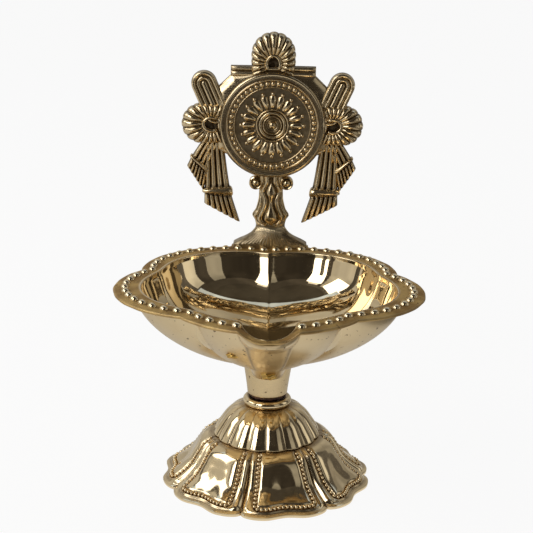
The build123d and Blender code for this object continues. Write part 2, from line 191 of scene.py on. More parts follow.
def grid_faces(rows: int, columns: int, round_columns: bool, round_rows: bool) -> Array:
    """Quads between the points of a grid.

    Args:
        rows: Rows of points.
        columns: Points in a row.
        round_columns: Whether the last column meets the first.
        round_rows: Whether the last row meets the first.

    Returns:
        Four point numbers for each quad.
    """
    index = np.arange(rows * columns).reshape(rows, columns)
    if round_columns:
        index = np.concatenate([index, index[:, :1]], 1)
    if round_rows:
        index = np.concatenate([index, index[:1]], 0)
    corners = [index[:-1, :-1], index[1:, :-1], index[1:, 1:], index[:-1, 1:]]
    return np.stack(corners, -1).reshape(-1, 4)


class MeshPile:
    """Collects surfaces in millimetres, with marks at their points, and makes one mesh of them."""

    # The patina mark holds real tarnish together with painted shade: it darkens recesses, creases, corners
    # and the undersides of overhangs.
    MARKS = ("patina_and_shade", "satin", "ochre")

    def __init__(self) -> None:
        """Starts an empty pile."""
        self.points: list[Array] = []
        self.faces: list[Array] = []
        self.marks: dict[str, list[Array]] = {mark: [] for mark in self.MARKS}
        self.total = 0

    def add(self, points: Array, faces: Array, marks: Marks) -> None:
        """Adds points and faces.

        Args:
            points: Points, with three numbers on the last axis.
            faces: Four point numbers for each face.
            marks: Value of each mark at the points, 0 where it isn't given.
        """
        self.points.append(points.reshape(-1, 3))
        self.faces.append(faces + self.total)
        for mark in self.MARKS:
            value = np.clip(marks.get(mark, 0.0), 0.0, 1.0)
            self.marks[mark].append(np.broadcast_to(value, points.shape[:-1]).reshape(-1))
        self.total += points.size // 3

    def add_grid(
        self, points: Array, marks: Marks, round_columns: bool = True, round_rows: bool = False
    ) -> None:
        """Adds a grid of points as a skin, closed along its columns or rows where it says so."""
        self.add(points, grid_faces(*points.shape[:2], round_columns, round_rows), marks)

    def add_plate(
        self,
        front: Array,
        back: Array,
        marks: Marks,
        round_columns: bool = False,
        first_row_folded: bool = False,
    ) -> None:
        """Adds a plate between two grids that are stitched along their borders.

        Args:
            front: Grid of points on one face.
            back: Grid of the same shape on the other face.
            marks: Marks of one face, used on both.
            round_columns: Whether the last column meets the first.
            first_row_folded: Whether the first row is folded onto itself, so that it has no border.
        """
        rows, columns = front.shape[:2]
        size = rows * columns
        faces = grid_faces(rows, columns, round_columns, False)
        index = np.arange(size).reshape(rows, columns)
        edges = [index[-1]] if first_row_folded else [index[0], index[-1]]
        if round_columns:
            edges = [np.append(edge, edge[0]) for edge in edges]
        else:
            edges += [index[:, 0], index[:, -1]]
        skirts = [np.stack([e[:-1], e[1:], e[1:] + size, e[:-1] + size], -1) for e in edges]
        both = np.concatenate([front.reshape(-1, 3), back.reshape(-1, 3)])
        doubled = {
            mark: np.tile(np.broadcast_to(value, (rows, columns)).reshape(-1), 2)
            for mark, value in marks.items()
        }
        self.add(both, np.concatenate([faces, faces[:, ::-1] + size, *skirts]), doubled)

    def add_tube(self, path: Array, radius: float, sides: int, marks: Marks) -> None:
        """Adds a round rod along a path, closed at both ends.

        Args:
            path: Points of the path.
            radius: Radius of the rod.
            sides: Sides of the rod.
            marks: Marks of the rod.
        """
        along = np.gradient(path, axis=0)
        along /= np.linalg.norm(along, axis=1, keepdims=True)
        side = np.cross(along, [0.0, 1.0, 0.0])
        side /= np.linalg.norm(side, axis=1, keepdims=True)
        other = np.cross(along, side)
        angle = turn(sides)
        swing = side[:, None] * np.cos(angle)[:, None] + other[:, None] * np.sin(angle)[:, None]
        sizes = np.concatenate([[0.0, 0.7], np.ones(len(path)), [0.7, 0.0]])
        slots = np.concatenate([[0, 0], np.arange(len(path)), [len(path) - 1] * 2])
        pushes = np.zeros(len(sizes))
        pushes[[0, 1, -2, -1]] = (-radius, -0.7 * radius, 0.7 * radius, radius)
        rings = path[slots, None] + swing[slots] * (radius * sizes)[:, None, None]
        rings = rings + along[slots, None] * pushes[:, None, None]
        self.add_grid(rings, marks)

    def add_turned(self, profile: Array, count: int, marks: Marks, axis: "Lathe") -> None:
        """Adds a turned shape.

        Args:
            profile: Radius and place along the axis at each point of the section.
            count: Points round the axis.
            marks: Marks along the section.
            axis: What turns the section into points.
        """
        spread = {mark: np.broadcast_to(value, len(profile))[:, None] for mark, value in marks.items()}
        self.add_grid(axis.points(profile[:, :1], turn(count)[None, :], profile[:, 1:]), spread)

    def to_object(self, name: str, finish: "Finish", sharp: float = 48.0) -> Piece:
        """Makes the mesh, closes its seams and turns its faces outwards.

        Args:
            name: Name of the piece.
            finish: Finish of the piece.
            sharp: Angle between faces, in degrees, past which an edge stays crisp.

        Returns:
            The new object, at the origin.
        """
        mesh = bpy.data.meshes.new(name)
        points = np.concatenate(self.points) * MM
        mesh.from_pydata(points.tolist(), [], np.concatenate(self.faces).tolist())
        for mark, values in self.marks.items():
            layer = mesh.attributes.new(mark, "FLOAT", "POINT")
            layer.data.foreach_set("value", np.concatenate(values).astype(np.float32))
        close_mesh(mesh, sharp)
        mesh.materials.append(finish.material())
        piece = bpy.data.objects.new(name, mesh)
        bpy.context.scene.collection.objects.link(piece)
        return piece


def close_mesh(mesh: bpy.types.Mesh, sharp: float) -> None:
    """Merges a mesh's seams and poles, turns its faces outwards and smooths it.

    Args:
        mesh: Mesh to finish.
        sharp: Angle between faces, in degrees, past which an edge stays crisp.
    """
    work = bmesh.new()
    work.from_mesh(mesh)
    bmesh.ops.remove_doubles(work, verts=work.verts, dist=MERGE_DISTANCE)
    bmesh.ops.dissolve_degenerate(work, edges=work.edges, dist=MERGE_DISTANCE)
    bmesh.ops.recalc_face_normals(work, faces=work.faces)
    work.to_mesh(mesh)
    work.free()
    mesh.shade_smooth()
    mesh.set_sharp_from_angle(angle=math.radians(sharp))


@dataclass(frozen=True)
class Lathe:
    """An axis to turn a section about: upright through a point, or along the wheel's depth."""

    centre: Spot = (0.0, 0.0, 0.0)
    upright: bool = True

    def points(self, radius: Array, angle: Array, along: Array) -> Array:
        """Points of a turned section.

        Args:
            radius: Radius of each point.
            angle: Angle of each point about the axis.
            along: Height or, for the wheel, depth towards the front.

        Returns:
            The points, with three numbers on the last axis.
        """
        if self.upright:
            return around(radius, angle, along) + np.array(self.centre)
        radius, angle, along = np.broadcast_arrays(radius, angle, along)
        return np.stack([radius * np.sin(angle), -along, radius * np.cos(angle)], -1) + np.array(self.centre)


class NodeSheet:
    """Short hand for the nodes of one tree."""

    def __init__(self, tree: bpy.types.NodeTree) -> None:
        """Takes the tree of a material, a world or a tool."""
        self.tree = tree

    def node(self, kind: str, **links: object) -> bpy.types.Node:
        """Adds a node.

        Args:
            kind: Kind of node.
            **links: What each input gets, with underscores for the spaces in its name.

        Returns:
            The node.
        """
        node = self.tree.nodes.new(kind)
        self.wire(node, **links)
        return node

    def wire(self, node: bpy.types.Node, **links: object) -> None:
        """Links or sets a node's inputs, with underscores for the spaces in their names."""
        for label, value in links.items():
            self.feed(node.inputs[label.replace("_", " ")], value)

    def feed(self, socket: Socket, value: object) -> None:
        """Links a socket to another one, or sets its value.

        Args:
            socket: Input of a node.
            value: Output of a node, number or colour.
        """
        if isinstance(value, Socket):
            self.tree.links.new(value, socket)
        elif isinstance(value, tuple) and socket.type == "RGBA":
            socket.default_value = (*value, 1.0)
        else:
            socket.default_value = value

    def math(self, operation: str, first: object, second: object) -> Socket:
        """Sum, product or other operation on two values.

        Args:
            operation: Name of the operation.
            first: First socket or number.
            second: Second socket or number.

        Returns:
            The result.
        """
        node = self.node("ShaderNodeMath")
        node.operation = operation
        self.feed(node.inputs[0], first)
        self.feed(node.inputs[1], second)
        return node.outputs["Value"]

    def backdrop_share(self) -> Socket:
        """Tells the rays that show the backdrop from those that carry its light.

        Returns:
            1 for a ray from the camera, a mirror or glass, else 0.
        """
        rays = self.node("ShaderNodeLightPath").outputs
        seen = self.math("MAXIMUM", rays["Is Camera Ray"], rays["Is Glossy Ray"])
        return self.math("MAXIMUM", seen, rays["Is Transmission Ray"])


class NodePad(NodeSheet):
    """The nodes of one material round its shader."""

    def __init__(self, name: str) -> None:
        """Starts a material.

        Args:
            name: Name of the material.
        """
        self.material = bpy.data.materials.new(name)
        self.material.use_nodes = True
        super().__init__(self.material.node_tree)
        self.tree.nodes.clear()
        self.shader = self.node("ShaderNodeBsdfPrincipled")
        self.output = self.node("ShaderNodeOutputMaterial", Surface=self.shader.outputs["BSDF"])
        self.place = self.node("ShaderNodeTexCoord").outputs["Object"]

    def shade(self, **links: object) -> None:
        """Links or sets the shader's inputs."""
        self.wire(self.shader, **links)

    def mark(self, name: str) -> Socket:
        """Reads one of the mesh's marks.

        Args:
            name: Name of the mark.

        Returns:
            Its value.
        """
        node = self.node("ShaderNodeAttribute")
        node.attribute_name = name
        return node.outputs["Fac"]

    def noise(self, scale: float, detail: float, stretch: Colour = (1.0, 1.0, 1.0)) -> Socket:
        """Adds noise on Object coordinates.

        Args:
            scale: Its scale.
            detail: Its octaves.
            stretch: Its frequency along each axis.

        Returns:
            The noise.
        """
        place = self.node("ShaderNodeMapping", Vector=self.place, Scale=stretch).outputs["Vector"]
        return self.node("ShaderNodeTexNoise", Vector=place, Scale=scale, Detail=detail).outputs["Fac"]

    def spread(
        self, value: object, low: float, high: float, to_low: float = 0.0, to_high: float = 1.0
    ) -> Socket:
        """Maps a range of values smoothly to another range, held at its ends.

        Args:
            value: What is mapped.
            low: Start of its range.
            high: End of its range.
            to_low: Result at the start.
            to_high: Result at the end.

        Returns:
            The mapped value.
        """
        node = self.node("ShaderNodeMapRange", Value=value)
        node.interpolation_type = "SMOOTHSTEP"
        self.wire(node, From_Min=low, From_Max=high, To_Min=to_low, To_Max=to_high)
        return node.outputs["Result"]

    def blend(self, share: object, first: object, second: object) -> Socket:
        """Mixes two colours.

        Args:
            share: Share of the second colour.
            first: First colour.
            second: Second colour.

        Returns:
            The mixed colour.
        """
        node = self.node("ShaderNodeMix")
        node.data_type = "RGBA"
        self.feed(node.inputs[0], share)
        self.feed(node.inputs[6], first)
        self.feed(node.inputs[7], second)
        return node.outputs[2]

    def bump(self, height: object, distance: float, strength: float) -> None:
        """Gives the shader a bump.

        Args:
            height: Height of the surface.
            distance: Depth for a height of 1, in metres.
            strength: Strength of the bump.
        """
        bump = self.node("ShaderNodeBump", Strength=strength, Distance=distance, Height=height)
        self.shade(Normal=bump.outputs["Normal"])


class Finish:
    """A named finish that makes its material once."""

    name: str

    def material(self) -> bpy.types.Material:
        """The finish's material."""
        return bpy.data.materials.get(self.name) or self.make()

    def make(self) -> bpy.types.Material:
        """Makes the material."""
        raise NotImplementedError


@dataclass(frozen=True)
class Brass(Finish):
    """Brass with polish, tarnish and painted shade in its recesses, satin walls and an ochre matt skin where
    marked.
    """

    name: str
    bright: Colour
    stained: Colour
    # Dark tone of real tarnish and of the painted shade in recesses; the pits use it too.
    tarnish_and_shade: Colour
    ochre: Colour = (0.74, 0.51, 0.19)
    ochre_dark: Colour = (0.42, 0.25, 0.08)
    gloss: float = 0.045
    satin_gloss: float = 0.24
    ochre_gloss: float = 0.26
    tarnish_gloss: float = 0.30
    stain_share: float = 0.22
    pits: float = 0.0
    grain_depth: float = 0.00008

    def make(self) -> bpy.types.Material:
        """Makes the material from clouds of stain, fine scratches, pits and the mesh's marks.

        Returns:
            The material.
        """
        pad = NodePad(self.name)
        patina_and_shade, satin, ochre = (pad.mark(mark) for mark in MeshPile.MARKS)
        clouds = pad.noise(110.0, 6.0)
        specks = pad.noise(500.0, 2.0)
        scratches = pad.noise(420.0, 2.0, (0.25, 0.25, 5.0))
        stain = pad.spread(clouds, 0.48, 0.74, 0.0, self.stain_share)
        # Painted shade with tarnish: the colour turns to the dark tone where the patina mark is high.
        grime_and_shade = pad.math("MULTIPLY", patina_and_shade, pad.spread(specks, 0.3, 0.7, 0.85, 1.1))
        grime_and_shade = pad.math("MINIMUM", grime_and_shade, 1.0)
        rough_cast = pad.spread(satin, 0.4, 0.6)
        pit = pad.math("MULTIPLY", pad.spread(pad.noise(650.0, 1.0), 0.69, 0.75), rough_cast)
        pit = pad.math("MULTIPLY", pit, self.pits)
        skin = pad.blend(pad.spread(clouds, 0.35, 0.65), self.ochre_dark, self.ochre)
        colour = pad.blend(stain, self.bright, self.stained)
        colour = pad.blend(ochre, colour, skin)
        colour = pad.blend(pad.math("MAXIMUM", grime_and_shade, pit), colour, self.tarnish_and_shade)
        rough = pad.spread(scratches, 0.35, 0.75, self.gloss * 0.8, self.gloss * 1.5)
        gains = ((satin, self.satin_gloss), (ochre, self.ochre_gloss), (grime_and_shade, self.tarnish_gloss))
        for share, gain in gains:
            rough = pad.math("ADD", rough, pad.math("MULTIPLY", share, gain))
        pad.shade(Base_Color=colour, Metallic=1.0, Roughness=rough)
        fine = pad.math("MULTIPLY", pad.math("ADD", specks, scratches), 0.02)
        pad.bump(pad.math("ADD", pad.noise(80.0, 0.5), fine), self.grain_depth, 1.0)
        return pad.material


@dataclass(frozen=True)
class Steel(Finish):
    """Turned steel with fine rings and a grey haze."""

    name: str = "turned_steel"
    bright: Colour = (0.56, 0.55, 0.53)
    dull: Colour = (0.30, 0.28, 0.26)

    def make(self) -> bpy.types.Material:
        """Makes the material.

        Returns:
            The material.
        """
        pad = NodePad(self.name)
        haze = pad.noise(260.0, 4.0)
        rings = pad.noise(900.0, 2.0, (0.2, 0.2, 4.0))
        colour = pad.blend(pad.spread(haze, 0.35, 0.65), self.bright, self.dull)
        pad.shade(Base_Color=colour, Metallic=1.0, Roughness=pad.spread(rings, 0.3, 0.7, 0.26, 0.42))
        pad.bump(rings, 0.00002, 0.5)
        return pad.material


@dataclass(frozen=True)
class DarkWasherFinish(Finish):
    """Dark brown grained finish of the washer on the collar, with lighter flecks in its grain."""

    name: str = "dark_washer_finish"
    dark: Colour = (0.045, 0.014, 0.007)
    wear_and_shade: Colour = (0.14, 0.05, 0.022)

    def make(self) -> bpy.types.Material:
        """Makes the material.

        Returns:
            The material.
        """
        pad = NodePad(self.name)
        grain = pad.noise(1500.0, 4.0)
        colour = pad.blend(pad.spread(grain, 0.4, 0.7), self.dark, self.wear_and_shade)
        pad.shade(Base_Color=colour, Roughness=pad.spread(grain, 0.3, 0.7, 0.42, 0.65))
        pad.bump(grain, 0.0001, 0.7)
        return pad.material


POLISHED = Brass("burnished_brass", (0.90, 0.73, 0.46), (0.72, 0.50, 0.22), (0.10, 0.045, 0.014), pits=0.8)
ANTIQUE = Brass(
    "antiqued_brass",
    (0.80, 0.64, 0.40),
    (0.52, 0.37, 0.18),
    (0.060, 0.038, 0.020),
    gloss=0.14,
    stain_share=0.5,
)
BRAZE = Brass(
    "braze_brass",
    (0.72, 0.47, 0.14),
    (0.50, 0.28, 0.07),
    (0.12, 0.05, 0.015),
    gloss=0.24,
    grain_depth=0.0002,
)
STEEL = Steel()
DARK_WASHER = DarkWasherFinish()


class NodeTool(NodeSheet):
    """A Geometry Nodes tree with named inputs that is run on an object and leaves a plain mesh."""

    def __init__(self, name: str, inputs: dict[str, str]) -> None:
        """Starts the tree.

        Args:
            name: Name of the tree.
            inputs: Kind of socket of each named input.
        """
        super().__init__(bpy.data.node_groups.new(name, "GeometryNodeTree"))
        face = self.tree.interface
        face.new_socket(name="Geometry", in_out="OUTPUT", socket_type="NodeSocketGeometry")
        face.new_socket(name="Geometry", in_out="INPUT", socket_type="NodeSocketGeometry")
        self.keys = {
            label: face.new_socket(name=label, in_out="INPUT", socket_type=f"NodeSocket{kind}").identifier
            for label, kind in inputs.items()
        }
        self.given = self.node("NodeGroupInput").outputs
        self.result = self.node("NodeGroupOutput").inputs["Geometry"]

    def close(self, instances: Socket, merge: bool) -> None:
        """Ends the tree in real geometry, smooth faces and the material.

        Args:
            instances: What the tree has placed.
            merge: Whether the seams between the copies are merged.
        """
        shape = self.node("GeometryNodeRealizeInstances", Geometry=instances).outputs["Geometry"]
        if merge:
            joined = self.node("GeometryNodeMergeByDistance", Geometry=shape, Distance=MERGE_DISTANCE)
            shape = joined.outputs["Geometry"]
        smooth = self.node("GeometryNodeSetShadeSmooth", Geometry=shape).outputs["Geometry"]
        dressed = self.node("GeometryNodeSetMaterial", Geometry=smooth, Material=self.given["Material"])
        self.feed(self.result, dressed.outputs["Geometry"])

    def run(self, piece: Piece, values: dict[str, object], sharp: float) -> Piece:
        """Runs the tree on a piece and replaces the piece's mesh by the result.

        Args:
            piece: Object that holds the tree's input geometry.
            values: Value of each named input.
            sharp: Angle past which an edge stays crisp.

        Returns:
            The same object, with a plain mesh and no modifier.
        """
        modifier = piece.modifiers.new(self.tree.name, "NODES")
        modifier.node_group = self.tree
        for label, value in values.items():
            modifier[self.keys[label]] = value
        graph = bpy.context.evaluated_depsgraph_get()
        plain = bpy.data.meshes.new_from_object(piece.evaluated_get(graph), depsgraph=graph)
        piece.modifiers.remove(modifier)
        piece.data = plain
        close_mesh(plain, sharp)
        return piece


class BeadRow(NodeTool):
    """Strings beads along the edges of a path."""

    SIZE_SPREAD = 0.12
    SEED = 7

    def __init__(self) -> None:
        """Builds the tree."""
        super().__init__(
            "bead_row",
            {
                "Pitch": "Float",
                "Bead Radius": "Float",
                "Segments": "Int",
                "Stretch": "Float",
                "Size Spread": "Float",
                "Seed": "Int",
                "Material": "Material",
            },
        )
        line = self.node("GeometryNodeMeshToCurve", Mesh=self.given["Geometry"]).outputs["Curve"]
        even = self.node("GeometryNodeResampleCurve", Curve=line)
        even.mode = "LENGTH"
        self.wire(even, Length=self.given["Pitch"])
        bead = self.node(
            "GeometryNodeMeshUVSphere",
            Segments=self.given["Segments"],
            Rings=self.given["Segments"],
            Radius=self.given["Bead Radius"],
        )
        size = self.node("FunctionNodeRandomValue", Seed=self.given["Seed"])
        size.data_type = "FLOAT"
        self.feed(size.inputs[2], self.math("SUBTRACT", 1.0, self.given["Size Spread"]))
        self.feed(size.inputs[3], 1.0)
        wide = size.outputs[1]
        length = self.math("MULTIPLY", wide, self.given["Stretch"])
        shape = self.node("ShaderNodeCombineXYZ", X=length, Y=wide, Z=wide)
        along = self.node("FunctionNodeAlignRotationToVector")
        along.axis = "X"
        self.wire(along, Vector=self.node("GeometryNodeInputTangent").outputs[0])
        beads = self.node(
            "GeometryNodeInstanceOnPoints",
            Points=even.outputs["Curve"],
            Instance=bead.outputs["Mesh"],
            Rotation=along.outputs[0],
            Scale=shape.outputs[0],
        )
        self.close(beads.outputs["Instances"], merge=False)

    def string(
        self,
        name: str,
        paths: list[Array],
        closed: bool,
        pitch: float,
        radius: float,
        segments: int,
        finish: Finish,
        stretch: float = 1.0,
    ) -> Piece:
        """Makes the beads of one piece.

        Args:
            name: Name of the piece.
            paths: Points of each path.
            closed: Whether the paths are loops.
            pitch: Distance between beads.
            radius: Radius of a bead.
            segments: Sides of a bead.
            finish: Finish of the beads.
            stretch: Length of a bead along its path over its width.

        Returns:
            The beads as one object.
        """
        edges, start = [], 0
        for path in paths:
            ring = np.arange(start, start + len(path))
            edges += list(zip(ring.tolist(), np.roll(ring, -1).tolist()))[: None if closed else -1]
            start += len(path)
        mesh = bpy.data.meshes.new(name)
        mesh.from_pydata((np.concatenate(paths) * MM).tolist(), edges, [])
        piece = bpy.data.objects.new(name, mesh)
        bpy.context.scene.collection.objects.link(piece)
        values = {
            "Pitch": pitch * MM,
            "Bead Radius": radius * MM,
            "Segments": segments,
            "Stretch": stretch,
            "Size Spread": self.SIZE_SPREAD,
            "Seed": self.SEED,
            "Material": finish.material(),
        }
        return self.run(piece, values, 180.0)


class PolarArray(NodeTool):
    """Repeats a sector or a ray about an axis and closes the seams between the copies."""

    def __init__(self) -> None:
        """Builds the tree."""
        super().__init__(
            "polar_array",
            {
                "Count": "Int",
                "Axis": "Vector",
                "Centre": "Vector",
                "Material": "Material",
            },
        )
        points = self.node("GeometryNodePoints", Count=self.given["Count"], Position=self.given["Centre"])
        step = self.math("DIVIDE", 2.0 * math.pi, self.given["Count"])
        angle = self.math("MULTIPLY", self.node("GeometryNodeInputIndex").outputs[0], step)
        swing = self.node("FunctionNodeAxisAngleToRotation", Axis=self.given["Axis"], Angle=angle)
        copies = self.node(
            "GeometryNodeInstanceOnPoints",
            Points=points.outputs[0],
            Instance=self.given["Geometry"],
            Rotation=swing.outputs[0],
        )
        self.close(copies.outputs["Instances"], merge=True)

    def repeat(
        self,
        piece: Piece,
        count: int,
        finish: Finish,
        axis: Spot = (0.0, 0.0, 1.0),
        centre: Spot = (0.0, 0.0, 0.0),
        sharp: float = 48.0,
    ) -> Piece:
        """Repeats a piece's mesh all the way round.

        Args:
            piece: Object whose mesh is given about the centre.
            count: How many copies.
            finish: Finish of the piece.
            axis: Direction of the axis.
            centre: Point on the axis.
            sharp: Angle past which an edge stays crisp.

        Returns:
            The same object, with all copies in one mesh.
        """
        values = {
            "Count": count,
            "Axis": axis,
            "Centre": tuple(c * MM for c in centre),
            "Material": finish.material(),
        }
        return self.run(piece, values, sharp)


@dataclass
class Toolbox:
    """The two Geometry Nodes trees that the sub-assemblies share."""

    beads: BeadRow
    array: PolarArray


def mount(piece: Piece, body: Body, slot: Slot, *nodes: str) -> None:
    """Rides a finished piece on its body and hides the solids that it stands for.

    Args:
        piece: The piece.
        body: Body that it rides on.
        slot: Slot of its finish; not used.
        *nodes: Solids that it stands for.
    """
    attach(piece, body.value)
    if nodes:
        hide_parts(*nodes)
    log.info("%s on %s, %d faces", piece.name, body.value, len(piece.data.polygons))


@dataclass
class PetalSkirt:
    """Base casting of seven petals, each framed by a row of beads."""

    tools: Toolbox
    petals: int = 7
    first_valley: float = -13.9
    heights: Curve = (1.2, 5.0, 8.0, 12.0, 16.1, 18.5)
    radii: Curve = (41.3, 34.9, 31.3, 28.5, 25.6, 22.0)
    valley_low: float = 3.4
    valley_high: float = 0.6
    middle_dip: float = 2.2
    corner: float = 0.5
    bead_line: float = 0.71
    bead_row_rise: float = 4.0
    bead_corner: float = 1.6
    bead_radius: float = 0.70
    bead_pitch: float = 1.65
    channel_depth: float = 0.5
    channel_width: float = 1.0
    lip_round: float = 0.7
    wall: float = 1.8
    deck: float = 1.6
    bore: float = 17.2

    def top(self) -> float:
        """Height of the deck that carries the dome."""
        return node_height("petal_skirt", True)

    def ridge(self, height: Array) -> Array:
        """Radius of a petal's ridge at a height."""
        return ease_through(self.heights, self.radii, height)

    def sunken(self, side: Array, height: Array) -> Array:
        """How far the plan falls back from the ridge.

        Args:
            side: Share of the half petal.
            height: Height.

        Returns:
            The fall in radius.
        """
        fade = height / self.top()
        valley = self.valley_low + (self.valley_high - self.valley_low) * fade
        middle = self.middle_dip * (1.0 - fade)
        out = np.clip((np.abs(side) - self.corner) / (1.0 - self.corner), 0.0, 1.0)
        dip = middle * 0.5 * (1.0 + np.cos(np.pi * np.clip(np.abs(side) / self.corner, 0.0, 1.0)))
        return dip + valley * (1.0 - (1.0 - out**2.4) ** 0.6)

    def skin(self, side: Array, height: Array) -> Array:
        """Smooth outer skin of the petal that faces the front, before its relief."""
        radius = self.ridge(height) - self.sunken(side, height)
        return around(radius, side * (math.pi / self.petals), height)

    def run_up(self, height: Array) -> Array:
        """Length along the ridge from the lip.

        Args:
            height: Height to run up to.

        Returns:
            The length.
        """
        fine = np.linspace(self.heights[0], self.heights[-1], 400)
        run = np.concatenate([[0.0], np.cumsum(np.hypot(np.diff(fine), np.diff(self.ridge(fine))))])
        return np.interp(height, fine, run)

    def inside_row(self, side: Array, height: Array) -> Array:
        """Distance from the bead row.

        Args:
            side: Share of the half petal.
            height: Height.

        Returns:
            The distance inside the row, negative outside it.
        """
        half_width = self.ridge(height) * math.pi / self.petals
        in_from_side = (self.bead_line - np.abs(side)) * half_width
        up_from_row = self.run_up(height) - self.bead_row_rise
        near = np.minimum(in_from_side, up_from_row)
        cut = self.bead_corner
        short_side, short_up = np.clip(cut - in_from_side, 0, None), np.clip(cut - up_from_row, 0, None)
        round_corner = cut - np.hypot(short_side, short_up)
        return np.where((in_from_side < cut) & (up_from_row < cut), round_corner, near)

    def relief(self, side: Array, height: Array) -> Array:
        """Chasing of the petal's skin.

        Args:
            side: Share of the half petal.
            height: Height.

        Returns:
            Height of the chasing above the smooth skin.
        """
        inside = self.inside_row(side, height)
        run = self.run_up(height)
        calm = ramp(0.5, 4.0, run) * (1.0 - 0.7 * ramp(self.top() - 2.0, self.top(), height))
        edge_roll = 0.55 * crest(np.abs(side), 0.88, 0.07) * calm
        channel = -self.channel_depth * np.clip(1.0 - (inside / self.channel_width) ** 4, 0.0, 1.0)
        panel = 0.30 * ramp(0.7, 1.9, inside) + 0.25 * ramp(1.5, 9.0, inside)
        trough = -0.35 * crest(run, 1.9, 0.7)
        fade = 1.0 - 0.5 * ramp(self.top() - 1.2, self.top(), height)
        return edge_roll + trough + (channel + panel) * fade

    def patina_and_shade(self, side: Array, height: Array) -> Array:
        """Tarnish and painted shade in the bead channel, the valleys, the border strip and the deck's corner.

        Args:
            side: Share of the half petal.
            height: Height.

        Returns:
            The tarnish and painted shade, from 0 to 1.
        """
        inside = self.inside_row(side, height)
        to_valley = (1.0 - np.abs(side)) * self.ridge(height) * math.pi / self.petals
        channel = 0.95 * crest(inside, -0.1, 0.95)
        border = 0.45 * crest(inside, -2.0, 1.1) * (np.abs(side) < self.bead_line + 0.05)
        valley = 0.8 * crest(to_valley, 0.0, 0.45)
        foot = 0.6 * ramp(self.top() - 0.8, self.top(), height)
        return highest([channel, border, valley, foot])

    def build(self) -> MeshPile:
        """Makes one petal's closed sector, facing the front.

        Returns:
            The sector, open along its two valleys.
        """
        rows = [(-0.71, 0.09, 2.5), (0.71, 0.09, 2.5), (-1.0, 0.06, 4.0), (1.0, 0.06, 4.0)]
        side = crowded(-1.0, 1.0, 93, rows)[None, :]
        levels = [(4.0, 1.2, 3.0), (1.2, 1.5, 2.5)]
        height = crowded(self.heights[0] + 0.15, self.top(), 74, levels)[:, None]
        skin = self.skin(side, height)
        outer = skin + grid_normals(skin) * self.relief(side, height)[..., None]
        outer[:, [0, -1]] = skin[:, [0, -1]]
        outer[-1] = skin[-1]
        lip = np.hypot(outer[0, :, 0], outer[0, :, 1])[None, :]
        angle = side * math.pi / self.petals
        bend = np.radians(np.linspace(-90.0, 20.0, 7))[:, None]
        curl = self.lip_round
        rolled = around(lip - curl + curl * np.cos(bend), angle, curl + curl * np.sin(bend))
        under = np.array([0.0, 0.0, 0.4, 2.5, 5.0, 8.0, 11.0, 14.0, self.top() - self.deck - 0.9])[::-1, None]
        inset = np.array([0.8, 0.0, 0.0, 0.0, 0.0, 0.0, 0.0, 0.0, 0.0])[::-1, None]
        at = np.maximum(under, self.heights[0])
        deepest = self.sunken(np.ones_like(side), at)
        inner = self.ridge(at) - deepest - self.wall + 0.45 * (deepest - self.sunken(side, at)) + inset
        deck_low = self.top() - self.deck
        deck = [(self.bore, self.top()), (self.bore, deck_low), (self.bore + 2.5, deck_low)]
        rows = [around(r, angle, z) for r, z in deck]
        loop = np.concatenate([rolled, outer, *rows, around(inner, angle, under)])
        # Painted shade with tarnish: the lip's roll a quarter dark and the inside of the casting half dark.
        patina_and_shade = np.zeros(loop.shape[:2])
        patina_and_shade[: len(rolled)] = 0.25
        patina_and_shade[len(rolled) : len(rolled) + len(outer)] = self.patina_and_shade(side, height)
        patina_and_shade[len(rolled) + len(outer) :] = 0.5
        pile = MeshPile()
        pile.add_grid(loop, {"patina_and_shade": patina_and_shade, "satin": 0.28}, round_columns=False, round_rows=True)
        return pile

    def bead_path(self) -> Array:
        """Bead row of the petal that faces the front.

        Returns:
            Centres of the beads' path, from its left top to its right top.
        """
        heights = np.linspace(self.heights[0], self.top() - 0.3, 400)
        row_height = np.interp(self.bead_row_rise, self.run_up(heights), heights)
        corner_height = np.interp(self.bead_row_rise + self.bead_corner, self.run_up(heights), heights)
        upright = np.linspace(self.top() - 0.6, corner_height, 60)
        row_radius = float(self.ridge(np.array([row_height]))[0])
        corner_side = self.bead_line - self.bead_corner / (row_radius * math.pi / self.petals)
        bend = np.radians(np.linspace(0.0, 90.0, 9))[1:-1]
        bend_side = corner_side + (self.bead_line - corner_side) * np.cos(bend)
        bend_height = corner_height + (row_height - corner_height) * np.sin(bend)
        foot_side = np.linspace(corner_side, 0.0, 30)
        half_side = np.concatenate([np.full(60, self.bead_line), bend_side, foot_side])
        half_height = np.concatenate([upright, bend_height, np.full(30, row_height)])
        side = np.concatenate([-half_side, half_side[-2::-1]])
        height = np.concatenate([half_height, half_height[-2::-1]])
        return self.skin(side, height) * (1.0 + 0.05 / 35.0)

    def dress(self) -> None:
        """Builds the casting and its beads and mounts them on the base."""
        middle = math.radians(self.first_valley) + math.pi / self.petals
        spin = Matrix.Rotation(middle, 4, "Z")
        shell = self.build().to_object("skirt_casting", POLISHED)
        shell.data.transform(spin)
        mount(self.tools.array.repeat(shell, self.petals, POLISHED), Body.BASE, Slot.POLISHED, "petal_skirt")
        paths = []
        for petal in range(self.petals):
            angle = middle + 2.0 * math.pi * petal / self.petals
            paths.append(self.bead_path() @ np.array(Matrix.Rotation(angle, 3, "Z")).T)
        pitch, radius = self.bead_pitch, self.bead_radius
        beads = self.tools.beads.string("skirt_beads", paths, False, pitch, radius, 8, POLISHED)
        mount(beads, Body.BASE, Slot.POLISHED)


